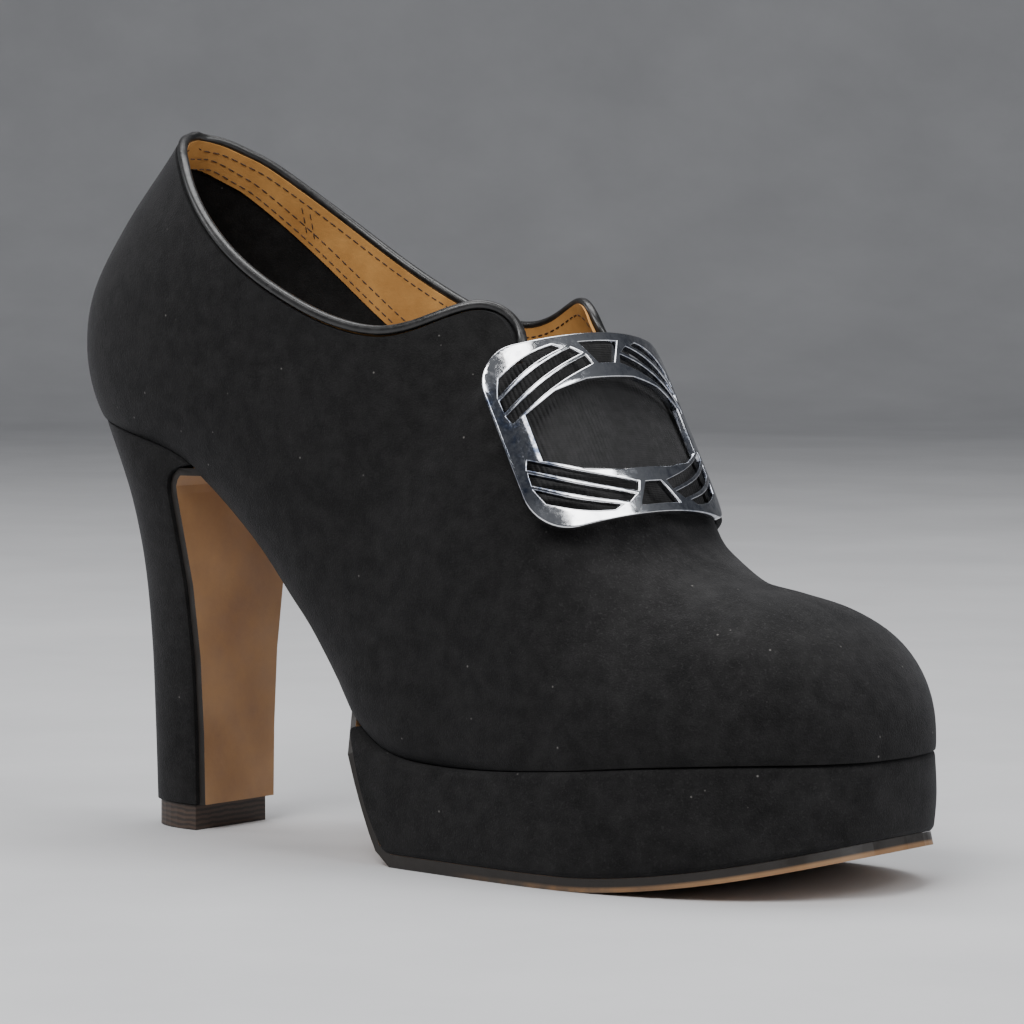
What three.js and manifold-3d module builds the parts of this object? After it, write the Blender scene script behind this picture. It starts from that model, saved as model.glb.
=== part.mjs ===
// Women's platform shoe with a high covered heel and a large curved buckle, right foot.
// Millimetres, +Z up, toe towards +X, inner side of the foot towards +Y, floor at z = 0.
// All curves are worked out from x = 0 at the back of the heel, and the group is then centred.
import * as THREE from 'three';
import { mergeVertices } from 'three/addons/utils/BufferGeometryUtils.js';
import Module from 'manifold-3d';

// Driving dimensions of the last
const SHOE_LENGTH = 228;
const BACK_BULGE = 4.2;
const BALL_WIDTH = 78;
const FOREFOOT_HEIGHT = 24.5;
const SEAT_HEIGHT = 96;
const QUARTER_HEIGHT = 72;
const TOE_SWAY = 4;
const TURN_UNDER = 6;

// Upper and what is sewn to it
const UPPER_WALL = 2;
const SEAM_GAP = 0.3;
const SKIN_GAP = 0.5;
const BINDING_HEIGHT = 2.2;
const BINDING_WIDTH = 2.4;
const BINDING_GAP = 0.5;
const INSOLE_THICKNESS = 2;
const INSOLE_INSET = 2.9;
const THROAT_WIDTH = 23;
const THROAT_DEPTH = 25;

// Platform, outsole, heel
const OUTSOLE_THICKNESS = 3;
const SOLE_INSET = 1;
const TIP_CUT = 0.1;
const TIP_REST = 1;
const WAIST_INSET = 2.5;
const TOE_SPRING = 10;
const PLATFORM_ROLL = 2.2;
const PLATFORM_REAR_TOP = 98;
const PLATFORM_REAR_BOTTOM = 111;
const TREAD_END = 165;
const LIFT_HEIGHT = 6;
const LIFT_INSET = 0.8;
const HEEL_BREAST = 36.5;
const HEEL_BASE_LENGTH = 20.5;
const HEEL_BASE_WIDTH = 27;
const HEEL_TOP_WIDTH = 48.5;
const BREAST_FLARE = 7;
const FLAP_THICKNESS = 1.8;
const SEAT_BACK = 2.5;
const HEEL_SQUARENESS = 2.2;

// Buckle, ribbed band and strap
const BUCKLE_WIDTH = 66;
const BUCKLE_LENGTH = 45;
const BUCKLE_CURVE = 50;
const BUCKLE_THICKNESS = 1.8;
const BUCKLE_CORNER = 10;
const BUCKLE_ROW = 9.72;
const BUCKLE_SIDE = -6.6;
const BUCKLE_CLEARANCE = 0.2;
const BUCKLE_SLOPE = 61;
const BUCKLE_TURN = 7;
const WINDOW_SIDE = 7.25;
const WINDOW_END = 11.25;
const BAND_WIDTH = 49;
const BAND_LENGTH = 39;
const BAND_THICKNESS = 0.9;
const BAND_DEPTH = 13;
const TONGUE_WIDTH = 30.5;
const TONGUE_TOP = 23.4;
const STRAP_WIDTH = 38;
const STRAP_REACH = 31;
const STRAP_THICKNESS = 1.4;
const STUD_DIAMETER = 4.2;
const STUD_HEIGHT = 1.6;
const STUD_CLEARANCE = 0.25;
const STUD_ROW = 10.4;
const STUD_ANGLE = 1.12;

// Fineness of the lofts
const STATIONS = 36;
const AROUND = 32;

const wasm = await Module();
wasm.setup();

// Sections of the last, from the toe to the collar. x is a share of the shoe's length. The arch
// column is the share of the climb from forefoot to seat, and rise is a share of the quarter height.
// Lateral and medial are shares of half the ball width. Widest is the height share of the widest
// place, crown and floor say how square the section is above and below it.
const SECTIONS = [
  // the toe, where the section shrinks to a point
  { botX: 1.000, botArch: 0.06, botRise: 0.00, topX: 1.000, topArch: 0.08, topRise: 0.00,
    lateral: 0.00, medial: 0.00, widest: 0.50, crown: 2.0, floor: 2.0, sway: 1.00 },
  { botX: 0.993, botArch: 0.07, botRise: -0.06, topX: 0.992, topArch: 0.08, topRise: 0.15,
    lateral: 0.33, medial: 0.30, widest: 0.42, crown: 2.15, floor: 2.6, sway: 1.00 },
  { botX: 0.973, botArch: 0.07, botRise: -0.08, topX: 0.969, topArch: 0.08, topRise: 0.28,
    lateral: 0.575, medial: 0.545, widest: 0.38, crown: 2.3, floor: 3.2, sway: 0.95 },
  { botX: 0.941, botArch: 0.07, botRise: -0.08, topX: 0.936, topArch: 0.07, topRise: 0.385,
    lateral: 0.765, medial: 0.735, widest: 0.34, crown: 2.4, floor: 3.6, sway: 0.85 },
  { botX: 0.898, botArch: 0.065, botRise: -0.08, topX: 0.893, topArch: 0.065, topRise: 0.455,
    lateral: 0.885, medial: 0.875, widest: 0.31, crown: 2.4, floor: 3.8, sway: 0.68 },
  { botX: 0.848, botArch: 0.055, botRise: -0.08, topX: 0.846, topArch: 0.055, topRise: 0.500,
    lateral: 0.96, medial: 0.95, widest: 0.29, crown: 2.35, floor: 4.0, sway: 0.46 },
  // the ball
  { botX: 0.792, botArch: 0.04, botRise: -0.08, topX: 0.798, topArch: 0.04, topRise: 0.553,
    lateral: 1.00, medial: 0.98, widest: 0.27, crown: 2.2, floor: 4.0, sway: 0.24 },
  { botX: 0.735, botArch: 0.02, botRise: -0.08, topX: 0.758, topArch: 0.02, topRise: 0.655,
    lateral: 1.02, medial: 0.97, widest: 0.26, crown: 2.3, floor: 4.0, sway: 0.08 },
  { botX: 0.675, botArch: 0.005, botRise: -0.08, topX: 0.728, topArch: 0.02, topRise: 0.755,
    lateral: 1.01, medial: 0.935, widest: 0.26, crown: 2.5, floor: 4.0, sway: 0 },
  // the instep, where the planes lean back
  { botX: 0.612, botArch: 0.00, botRise: -0.08, topX: 0.704, topArch: 0.06, topRise: 0.865,
    lateral: 0.985, medial: 0.90, widest: 0.28, crown: 2.9, floor: 4.0, sway: 0 },
  { botX: 0.545, botArch: 0.005, botRise: -0.08, topX: 0.679, topArch: 0.14, topRise: 0.928,
    lateral: 0.955, medial: 0.875, widest: 0.30, crown: 3.1, floor: 4.0, sway: 0 },
  { botX: 0.480, botArch: 0.025, botRise: -0.08, topX: 0.653, topArch: 0.26, topRise: 0.948,
    lateral: 0.92, medial: 0.85, widest: 0.31, crown: 3.1, floor: 3.9, sway: 0 },
  { botX: 0.425, botArch: 0.125, botRise: -0.09, topX: 0.630, topArch: 0.38, topRise: 0.953,
    lateral: 0.88, medial: 0.82, widest: 0.33, crown: 3.0, floor: 3.7, sway: 0 },
  // the waist
  { botX: 0.382, botArch: 0.29, botRise: -0.09, topX: 0.617, topArch: 0.48, topRise: 0.885,
    lateral: 0.845, medial: 0.80, widest: 0.35, crown: 2.7, floor: 3.4, sway: 0 },
  { botX: 0.325, botArch: 0.475, botRise: -0.09, topX: 0.611, topArch: 0.58, topRise: 0.820,
    lateral: 0.82, medial: 0.79, widest: 0.38, crown: 2.6, floor: 3.1, sway: 0 },
  { botX: 0.258, botArch: 0.665, botRise: -0.08, topX: 0.607, topArch: 0.66, topRise: 0.775,
    lateral: 0.81, medial: 0.79, widest: 0.42, crown: 2.5, floor: 2.85, sway: 0 },
  { botX: 0.182, botArch: 0.85, botRise: -0.08, topX: 0.605, topArch: 0.72, topRise: 0.743,
    lateral: 0.80, medial: 0.79, widest: 0.46, crown: 2.4, floor: 2.65, sway: 0 },
  // the heel seat
  { botX: 0.105, botArch: 0.965, botRise: -0.08, topX: 0.605, topArch: 0.77, topRise: 0.715,
    lateral: 0.795, medial: 0.79, widest: 0.50, crown: 2.35, floor: 2.5, sway: 0 },
  { botX: 0.036, botArch: 1.00, botRise: -0.04, topX: 0.606, topArch: 0.82, topRise: 0.685,
    lateral: 0.79, medial: 0.785, widest: 0.54, crown: 2.3, floor: 2.45, sway: 0 },
  // the back of the heel, up to the collar
  { botX: 0.000, botArch: 1.00, botRise: 0.08, topX: 0.608, topArch: 0.86, topRise: 0.667,
    lateral: 0.79, medial: 0.785, widest: 0.57, crown: 2.25, floor: 2.4, sway: 0 },
  { botX: -0.018, botArch: 1.00, botRise: 0.26, topX: 0.610, topArch: 0.90, topRise: 0.648,
    lateral: 0.79, medial: 0.785, widest: 0.59, crown: 2.2, floor: 2.3, sway: 0 },
  { botX: -0.011, botArch: 1.00, botRise: 0.46, topX: 0.613, topArch: 0.94, topRise: 0.629,
    lateral: 0.795, medial: 0.79, widest: 0.61, crown: 2.15, floor: 2.15, sway: 0 },
  { botX: 0.032, botArch: 1.00, botRise: 0.69, topX: 0.617, topArch: 0.98, topRise: 0.610,
    lateral: 0.80, medial: 0.795, widest: 0.62, crown: 2.1, floor: 1.98, sway: 0 },
  { botX: 0.096, botArch: 1.00, botRise: 0.94, topX: 0.621, topArch: 1.02, topRise: 0.592,
    lateral: 0.80, medial: 0.80, widest: 0.63, crown: 2.05, floor: 1.82, sway: 0 },
  { botX: 0.138, botArch: 1.00, botRise: 1.12, topX: 0.625, topArch: 1.06, topRise: 0.579,
    lateral: 0.80, medial: 0.80, widest: 0.63, crown: 2.05, floor: 1.82, sway: 0 },
];

// Lower edge of the upper from the side, from the heel's back through the waist to the toe
const FEATHER = [
  { x: -0.03, arch: 1.10 }, { x: 0.02, arch: 1.05 }, { x: 0.09, arch: 1.00 }, { x: 0.16, arch: 0.945 },
  { x: 0.195, arch: 0.895 }, { x: 0.238, arch: 0.795 }, { x: 0.292, arch: 0.655 }, { x: 0.335, arch: 0.505 },
  { x: 0.369, arch: 0.400 }, { x: 0.403, arch: 0.240 }, { x: 0.424, arch: 0.130 }, { x: 0.452, arch: 0.062 },
  { x: 0.482, arch: 0.022 }, { x: 0.530, arch: 0.000 }, { x: 0.610, arch: 0.000 }, { x: 0.720, arch: 0.025 },
  { x: 0.820, arch: 0.055 }, { x: 0.930, arch: 0.075 }, { x: 1.03, arch: 0.075 },
];

// Topline from the side: down from the back, low at the ankle, up to the front peak, then down
const TOPLINE = [
  { x: -0.080, rise: 1.060 }, { x: 0.060, rise: 1.035 }, { x: 0.108, rise: 0.998 }, { x: 0.126, rise: 0.972 },
  { x: 0.140, rise: 0.940 }, { x: 0.158, rise: 0.901 }, { x: 0.184, rise: 0.828 }, { x: 0.219, rise: 0.735 },
  { x: 0.263, rise: 0.629 }, { x: 0.307, rise: 0.540 }, { x: 0.351, rise: 0.468 }, { x: 0.395, rise: 0.410 },
  { x: 0.435, rise: 0.376 }, { x: 0.469, rise: 0.369 }, { x: 0.500, rise: 0.389 }, { x: 0.531, rise: 0.428 },
  { x: 0.557, rise: 0.454 }, { x: 0.577, rise: 0.446 }, { x: 0.592, rise: 0.417 }, { x: 0.603, rise: 0.374 },
  { x: 0.612, rise: 0.319 }, { x: 0.618, rise: 0.264 }, { x: 0.623, rise: 0.208 }, { x: 0.627, rise: 0.150 },
];

// Profile of the heel from the lift up to the seat
const HEEL_PROFILE = [
  { level: 0.00, back: 1.000, width: 0.000 }, { level: 0.20, back: 0.960, width: 0.030 },
  { level: 0.42, back: 0.930, width: 0.140 }, { level: 0.62, back: 0.870, width: 0.370 },
  { level: 0.78, back: 0.745, width: 0.690 }, { level: 0.90, back: 0.480, width: 0.920 },
  { level: 1.00, back: 0.000, width: 1.000 },
];

// Soft interpolation through the rows of a table, with t counted in rows
function rowValue(rows, key, t) {
  const last = rows.length - 1;
  const i = Math.min(Math.max(Math.floor(t), 0), last - 1);
  const f = t - i;
  const p1 = rows[i][key];
  const p2 = rows[i + 1][key];
  const p0 = i > 0 ? rows[i - 1][key] : 2 * p1 - p2;
  const p3 = i + 2 <= last ? rows[i + 2][key] : 2 * p2 - p1;
  const slope1 = (p2 - p0) / 2;
  const slope2 = (p3 - p1) / 2;
  const bend = 3 * (p2 - p1) - 2 * slope1 - slope2;
  const twist = 2 * (p1 - p2) + slope1 + slope2;
  return p1 + slope1 * f + bend * f * f + twist * f * f * f;
}

// Value of one column where another column has the value asked
function lookUp(rows, keyColumn, key, column) {
  let low = 0;
  let high = rows.length - 1;
  for (let step = 0; step < 40; step += 1) {
    const middle = (low + high) / 2;
    if (rowValue(rows, keyColumn, middle) < key) low = middle;
    else high = middle;
  }
  return rowValue(rows, column, (low + high) / 2);
}

function heightOf(arch, rise) {
  return FOREFOOT_HEIGHT + (SEAT_HEIGHT - FOREFOOT_HEIGHT) * arch + QUARTER_HEIGHT * rise;
}

function featherHeight(x) {
  return heightOf(lookUp(FEATHER, 'x', x / SHOE_LENGTH, 'arch'), 0);
}

// The section of the last at t rows from the toe
function sectionAt(t) {
  const row = (key) => rowValue(SECTIONS, key, t);
  const bottom = [row('botX') * SHOE_LENGTH, heightOf(row('botArch'), row('botRise'))];
  const top = [row('topX') * SHOE_LENGTH, heightOf(row('topArch'), row('topRise'))];
  const height = Math.hypot(top[0] - bottom[0], top[1] - bottom[1]) || 1e-6;
  return {
    bottom,
    height,
    dir: [(top[0] - bottom[0]) / height, (top[1] - bottom[1]) / height],
    lateral: Math.max(row('lateral'), 0) * BALL_WIDTH / 2,
    medial: Math.max(row('medial'), 0) * BALL_WIDTH / 2,
    widest: row('widest') * height,
    crown: row('crown'),
    floor: row('floor'),
    sway: row('sway') * TOE_SWAY,
  };
}

// A point of the last's skin: t picks the section, angle runs from the ridge round the medial side
function skinPoint(t, angle) {
  const s = sectionAt(t);
  const c = Math.cos(angle);
  const a = Math.sin(angle);
  const power = 2 / (c > 0 ? s.crown : s.floor);
  const reach = c > 0 ? s.height - s.widest : s.widest;
  const up = s.widest + Math.sign(c) * reach * Math.abs(c) ** power;
  const out = Math.sign(a) * (a > 0 ? s.medial : s.lateral) * Math.abs(a) ** power;
  return new THREE.Vector3(s.bottom[0] + s.dir[0] * up, s.sway + out, s.bottom[1] + s.dir[1] * up);
}

// The same point moved out of the skin by a distance, or inwards when it is negative
function offsetPoint(t, angle, distance) {
  const point = skinPoint(t, angle);
  if (t < 0.02) return point.add(new THREE.Vector3(distance, 0, 0));
  const dt = 0.05;
  const da = 0.03;
  const end = SECTIONS.length - 1;
  const along = skinPoint(Math.min(t + dt, end), angle).sub(skinPoint(Math.max(t - dt, 0), angle));
  const round = skinPoint(t, angle + da).sub(skinPoint(t, angle - da));
  const normal = new THREE.Vector3().crossVectors(round, along).normalize();
  return point.addScaledVector(normal, distance);
}

// Half width of the last at a place seen from the side. side is 1 for medial and -1 for lateral.
function sideReach(side, x, z) {
  let low = 0.001;
  let high = SECTIONS.length - 1;
  for (let step = 0; step < 40; step += 1) {
    const middle = (low + high) / 2;
    const s = sectionAt(middle);
    const turn = (x - s.bottom[0]) * s.dir[1] - (z - s.bottom[1]) * s.dir[0];
    if (turn > 0) high = middle;
    else low = middle;
  }
  const s = sectionAt((low + high) / 2);
  const up = (x - s.bottom[0]) * s.dir[0] + (z - s.bottom[1]) * s.dir[1];
  const above = up > s.widest;
  const share = above ? (up - s.widest) / (s.height - s.widest) : (s.widest - up) / s.widest;
  const power = above ? s.crown : s.floor;
  const width = side > 0 ? s.medial : s.lateral;
  return s.sway + side * width * Math.max(1 - Math.min(share, 1) ** power, 0) ** (1 / power);
}

// Bodies

function solidFrom(geometry) {
  const bare = geometry.clone();
  bare.deleteAttribute('normal');
  bare.deleteAttribute('uv');
  const merged = mergeVertices(bare, 1e-4);
  const vertProperties = new Float32Array(merged.attributes.position.array);
  const triVerts = new Uint32Array(merged.index.array);
  const mesh = new wasm.Mesh({ numProp: 3, vertProperties, triVerts });
  mesh.merge();
  return new wasm.Manifold(mesh);
}

function geometryFrom(solid) {
  const mesh = solid.getMesh();
  const geometry = new THREE.BufferGeometry();
  geometry.setAttribute('position', new THREE.BufferAttribute(new Float32Array(mesh.vertProperties), 3));
  geometry.setIndex(new THREE.BufferAttribute(new Uint32Array(mesh.triVerts), 1));
  return geometry;
}

// A closed body through rings of points. Each end is closed by strips from side to side of its ring.
function loft(rings) {
  const points = [];
  const faces = [];
  const starts = rings.map((ring) => {
    const start = points.length;
    ring.forEach((p) => points.push(p));
    return start;
  });
  for (let r = 0; r + 1 < rings.length; r += 1) {
    const count = Math.max(rings[r].length, rings[r + 1].length);
    for (let k = 0; k < count; k += 1) {
      const a = starts[r] + (k % rings[r].length);
      const b = starts[r] + ((k + 1) % rings[r].length);
      const c = starts[r + 1] + (k % rings[r + 1].length);
      const d = starts[r + 1] + ((k + 1) % rings[r + 1].length);
      if (a !== b) faces.push(a, b, d);
      if (c !== d) faces.push(a, d, c);
    }
  }
  [0, rings.length - 1].forEach((r) => {
    const count = rings[r].length;
    for (let k = 0; k + 1 < count - 1 - k; k += 1) {
      const a = starts[r] + k;
      const b = starts[r] + k + 1;
      const c = starts[r] + count - 2 - k;
      const d = starts[r] + count - 1 - k;
      const cap = b === c ? [a, b, d] : [a, b, c, a, c, d];
      if (r === 0) cap.reverse();
      faces.push(...cap);
    }
  });
  const geometry = new THREE.BufferGeometry();
  geometry.setAttribute('position', new THREE.Float32BufferAttribute(points.flatMap((p) => p.toArray()), 3));
  geometry.setIndex(faces);
  return solidOutward(geometry);
}

// A solid whose faces point out, whichever way round its rings were written
function solidOutward(geometry) {
  const solid = solidFrom(geometry);
  if (solid.volume() > 0) return solid;
  const index = geometry.index.array;
  for (let k = 0; k < index.length; k += 3) {
    const keep = index[k];
    index[k] = index[k + 1];
    index[k + 1] = keep;
  }
  return solidFrom(geometry);
}

// A plate drawn in the side view and extruded across the shoe
function sidePlate(outline, halfWidth) {
  const shape = new THREE.Shape(outline.map(([x, z]) => new THREE.Vector2(x, z)));
  const geometry = new THREE.ExtrudeGeometry(shape, { depth: 2 * halfWidth, bevelEnabled: false });
  geometry.translate(0, 0, -halfWidth);
  geometry.rotateX(Math.PI / 2);
  return solidOutward(geometry);
}

// The last as one closed body, moved out of its skin by a distance
function lastBody(distance) {
  const rings = [[offsetPoint(0, 0, distance)]];
  for (let i = 1; i <= STATIONS; i += 1) {
    const t = (i / STATIONS) ** 0.93 * (SECTIONS.length - 1);
    const ring = [];
    for (let k = 0; k < AROUND; k += 1) {
      ring.push(offsetPoint(t, (k / AROUND) * 2 * Math.PI, distance));
    }
    rings.push(ring);
  }
  return loft(rings);
}

const FAR = 400;

// All that lies below the lower edge of the upper
function belowFeather(lift) {
  const toeEdge = featherHeight(SHOE_LENGTH) + lift;
  const outline = [[-FAR, -FAR], [SHOE_LENGTH + FAR, -FAR], [SHOE_LENGTH + FAR, toeEdge]];
  const last = FEATHER.length - 1;
  for (let i = last * 3 - 1; i > 0; i -= 1) {
    const x = rowValue(FEATHER, 'x', i / 3) * SHOE_LENGTH;
    outline.push([x, heightOf(rowValue(FEATHER, 'arch', i / 3), 0) + lift]);
  }
  outline.push([-FAR, featherHeight(0) + lift]);
  return sidePlate(outline, BALL_WIDTH);
}

// Points of the topline from the side, moved down into the upper by a distance
function toplinePoints(down) {
  const points = [];
  const steps = (TOPLINE.length - 1) * 2;
  for (let i = 0; i <= steps; i += 1) {
    const t = i / 2;
    const place = (at) => [
      rowValue(TOPLINE, 'x', at) * SHOE_LENGTH,
      heightOf(1, rowValue(TOPLINE, 'rise', at)),
    ];
    const [x, z] = place(t);
    const before = place(Math.max(t - 0.1, 0));
    const after = place(Math.min(t + 0.1, TOPLINE.length - 1));
    const length = Math.hypot(after[0] - before[0], after[1] - before[1]);
    const [slideX, slideZ] = [(after[1] - before[1]) / length, (before[0] - after[0]) / length];
    points.push([x + slideX * down, z + slideZ * down]);
  }
  return points;
}

// Where the topline crosses the back of the last
function collarBack(down) {
  const line = toplinePoints(down);
  let low = SECTIONS.length - 5;
  let high = SECTIONS.length - 1;
  const at = (t) => {
    const [x, z] = sectionAt(t).bottom;
    const k = line.findIndex((p) => p[0] > x);
    const [x0, z0] = line[k - 1];
    const [x1, z1] = line[k];
    return { x, z, top: z0 + ((z1 - z0) * (x - x0)) / (x1 - x0) };
  };
  for (let step = 0; step < 30; step += 1) {
    const middle = at((low + high) / 2);
    if (middle.z < middle.top) low = (low + high) / 2;
    else high = (low + high) / 2;
  }
  const found = at(low);
  return [found.x, found.z];
}

function aboveTopline(down) {
  const points = toplinePoints(down);
  const [endX, endZ] = points[points.length - 1];
  return sidePlate([...points, [endX + FAR, endZ], [endX + FAR, FAR * 2], [-FAR, FAR * 2]], BALL_WIDTH);
}

// Whether a point lies inside the last
function insideLast(point) {
  const outer = sideReach(-1, point.x, point.z);
  const inner = sideReach(1, point.x, point.z);
  return outer < point.y && point.y < inner;
}

// The buckle's own frame: across the foot, up the instep and out of it. Its centre starts on the
// ridge of the instep and moves out until the curved plate clears the band or the strap.
const buckleFrame = new THREE.Matrix4();
{
  const slope = THREE.MathUtils.degToRad(BUCKLE_SLOPE);
  const up = new THREE.Vector3(-Math.cos(slope), 0, Math.sin(slope));
  const out = new THREE.Vector3(Math.sin(slope), 0, Math.cos(slope));
  const across = new THREE.Vector3().crossVectors(up, out);
  buckleFrame.makeBasis(across, up, out);
  buckleFrame.premultiply(new THREE.Matrix4().makeRotationZ(-THREE.MathUtils.degToRad(BUCKLE_TURN)));
  const place = skinPoint(BUCKLE_ROW, 0);
  place.y += BUCKLE_SIDE;
  const outward = new THREE.Vector3(0, 0, 1).transformDirection(buckleFrame);
  const covered = SKIN_GAP + Math.max(BAND_THICKNESS, STRAP_THICKNESS) + BUCKLE_CLEARANCE;
  const clear = (distance) => {
    const at = place.clone().addScaledVector(outward, distance);
    buckleFrame.setPosition(at.x, at.y, at.z);
    for (let i = -6; i <= 6; i += 1) {
      const turn = (i / 6) * (BUCKLE_WIDTH / 2 / BUCKLE_CURVE);
      const inner = BUCKLE_CURVE - BUCKLE_THICKNESS - covered;
      for (let k = -3; k <= 3; k += 1) {
        const b = (k / 3) * (BUCKLE_LENGTH / 2);
        const back = new THREE.Vector3(inner * Math.sin(turn), b, inner * Math.cos(turn) - BUCKLE_CURVE);
        if (insideLast(back.applyMatrix4(buckleFrame))) return false;
      }
    }
    return true;
  };
  let low = -BUCKLE_CURVE / 2;
  let high = BUCKLE_CURVE / 2;
  for (let step = 0; step < 24; step += 1) {
    const middle = (low + high) / 2;
    if (clear(middle)) high = middle;
    else low = middle;
  }
  clear(high);
}

function inBuckleFrame(geometry) {
  geometry.applyMatrix4(buckleFrame);
  return solidOutward(geometry.index ? geometry : mergeVertices(geometry));
}

function buckleBox(left, right, bottom, top, low, high) {
  const geometry = new THREE.BoxGeometry(right - left, top - bottom, high - low);
  geometry.translate((left + right) / 2, (bottom + top) / 2, (low + high) / 2);
  return inBuckleFrame(geometry);
}

// Throat: a slot with a round lower end, cut down the instep behind the buckle
function throatSlot() {
  const half = THROAT_WIDTH / 2;
  const shape = new THREE.Shape();
  const centre = BUCKLE_LENGTH / 2 - THROAT_DEPTH + half;
  shape.moveTo(half, centre);
  shape.lineTo(half, FAR);
  shape.lineTo(-half, FAR);
  shape.lineTo(-half, centre);
  shape.absarc(0, centre, half, Math.PI, 2 * Math.PI, false);
  const depth = THROAT_WIDTH;
  const geometry = new THREE.ExtrudeGeometry(shape, {
    depth: 2 * depth, bevelEnabled: false, curveSegments: 8,
  });
  geometry.translate(0, 0, -depth * 1.4);
  return inBuckleFrame(geometry);
}

function makeUpper() {
  const shell = lastBody(0).subtract(lastBody(-UPPER_WALL));
  const open = shell.subtract(belowFeather(0)).subtract(aboveTopline(BINDING_HEIGHT + BINDING_GAP));
  return open.subtract(throatSlot());
}

// Narrow rolled binding that caps the topline, from one front edge round the back to the other
function makeBinding() {
  const points = [];
  const line = toplinePoints(BINDING_HEIGHT / 2);
  const toBuckle = buckleFrame.clone().invert();
  const [backX, backZ] = collarBack(BINDING_HEIGHT / 2);
  const keep = line.filter(([x, z]) => {
    const up = new THREE.Vector3(x, 0, z).applyMatrix4(toBuckle).y;
    return x > backX + BINDING_WIDTH && up > BAND_LENGTH / 2 + BINDING_WIDTH;
  });
  const towards = (share) => [backX + (keep[0][0] - backX) * share, backZ + (keep[0][1] - backZ) * share];
  const nearBack = [0.15, 0.5].map(towards);
  const half = [...nearBack, ...keep];
  const place = (side) => ([x, z]) => (
    new THREE.Vector3(x, sideReach(side, x, z) - side * UPPER_WALL / 2, z)
  );
  points.push(...half.map(place(-1)).reverse());
  points.push(new THREE.Vector3(backX + UPPER_WALL / 2, 0, backZ));
  points.push(...half.map(place(1)));
  const curve = new THREE.CatmullRomCurve3(points, false, 'centripetal');
  const shape = new THREE.Shape();
  shape.absellipse(0, 0, BINDING_WIDTH / 2, BINDING_HEIGHT / 2, 0, 2 * Math.PI, false);
  const geometry = new THREE.ExtrudeGeometry(shape, { steps: 84, extrudePath: curve, curveSegments: 4 });
  return solidOutward(mergeVertices(stripped(geometry)));
}

function stripped(geometry) {
  geometry.deleteAttribute('normal');
  geometry.deleteAttribute('uv');
  return geometry;
}

// A skin patch with a thickness, from one distance to another above the last, between two sections
function skinPatch(fromRow, toRow, reachAngle, low, high) {
  const rings = [];
  const steps = 18;
  const turns = 26;
  for (let i = 0; i <= steps; i += 1) {
    const t = fromRow + (i / steps) * (toRow - fromRow);
    const ring = [];
    const angleAt = (k) => (2 * k / turns - 1) * reachAngle;
    for (let k = 0; k <= turns; k += 1) ring.push(offsetPoint(t, angleAt(k), high));
    for (let k = turns; k >= 0; k -= 1) ring.push(offsetPoint(t, angleAt(k), low));
    rings.push(ring);
  }
  return loft(rings);
}

const PATCH_FROM = 6.5;
const PATCH_TO = 15;
const PATCH_ANGLE = 2.0;

function makeBand() {
  const patch = skinPatch(PATCH_FROM, PATCH_TO, PATCH_ANGLE, SKIN_GAP, SKIN_GAP + BAND_THICKNESS);
  const half = BAND_WIDTH / 2;
  const sheet = buckleBox(-half, half, -BAND_LENGTH / 2, BAND_LENGTH / 2, -BAND_DEPTH, FAR / 8);
  const tongue = buckleBox(-TONGUE_WIDTH / 2, TONGUE_WIDTH / 2, 0, TONGUE_TOP, -BAND_DEPTH, FAR / 8);
  return patch.intersect(sheet.add(tongue));
}

function makeStrap() {
  const patch = skinPatch(PATCH_FROM, PATCH_TO, PATCH_ANGLE, SKIN_GAP, SKIN_GAP + STRAP_THICKNESS);
  const from = BAND_WIDTH / 2 + SEAM_GAP;
  const half = STRAP_WIDTH / 2;
  return patch.intersect(buckleBox(from, BALL_WIDTH, -half, half, -STRAP_REACH, FAR / 8));
}

// Plan outline of the sole at a height above the feather edge, narrowed by an inset
function planPoint(side, x, inset) {
  const y = sideReach(side, x, featherHeight(x) + TURN_UNDER);
  const step = 0.4;
  const ahead = sideReach(side, Math.min(x + step, SHOE_LENGTH - 0.02), featherHeight(x) + TURN_UNDER);
  const behind = sideReach(side, x - step, featherHeight(x) + TURN_UNDER);
  const length = Math.hypot(2 * step, ahead - behind);
  return [x + side * ((ahead - behind) / length) * inset, y - side * ((2 * step) / length) * inset];
}

// One side of the plan outline, narrowed by an inset, from a place to the tip of the toe
function planOutline(side, from, inset) {
  const places = [];
  const steps = 60;
  for (let i = 0; i <= steps; i += 1) {
    const share = Math.sin((i / steps) * Math.PI / 2);
    places.push(planPoint(side, from + (SHOE_LENGTH - TIP_REST - from) * share, inset));
  }
  places.push([SHOE_LENGTH - inset, TOE_SWAY]);
  return places;
}

// Reach across the shoe of such an outline at a place along it
function reachOf(places, x) {
  const k = Math.min(Math.max(places.findIndex((p) => p[0] > x), 1), places.length - 1);
  const [x0, y0] = places[k - 1];
  const [x1, y1] = places[k];
  return y0 + ((y1 - y0) * (x - x0)) / (x1 - x0);
}

// A body with the plan outline of the sole, built up from rows of levels
function soleBody(levels, rearAt, heightAt, front) {
  const along = 32;
  const rings = levels.map(({ level, inset }) => {
    const rear = rearAt(level) + inset;
    const xs = [];
    for (let i = 0; i <= along; i += 1) {
      xs.push(rear + (front - TIP_REST - rear) * (1 - Math.cos((i / along) * Math.PI)) / 2);
    }
    const place = (side) => (x) => {
      const [px, py] = planPoint(side, x, inset);
      return new THREE.Vector3(px, py, heightAt(level, px));
    };
    const tip = new THREE.Vector3(front - inset, TOE_SWAY, heightAt(level, front - inset));
    return [...xs.map(place(-1)), tip, ...xs.map(place(1)).reverse()];
  });
  return loft(rings);
}

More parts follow.
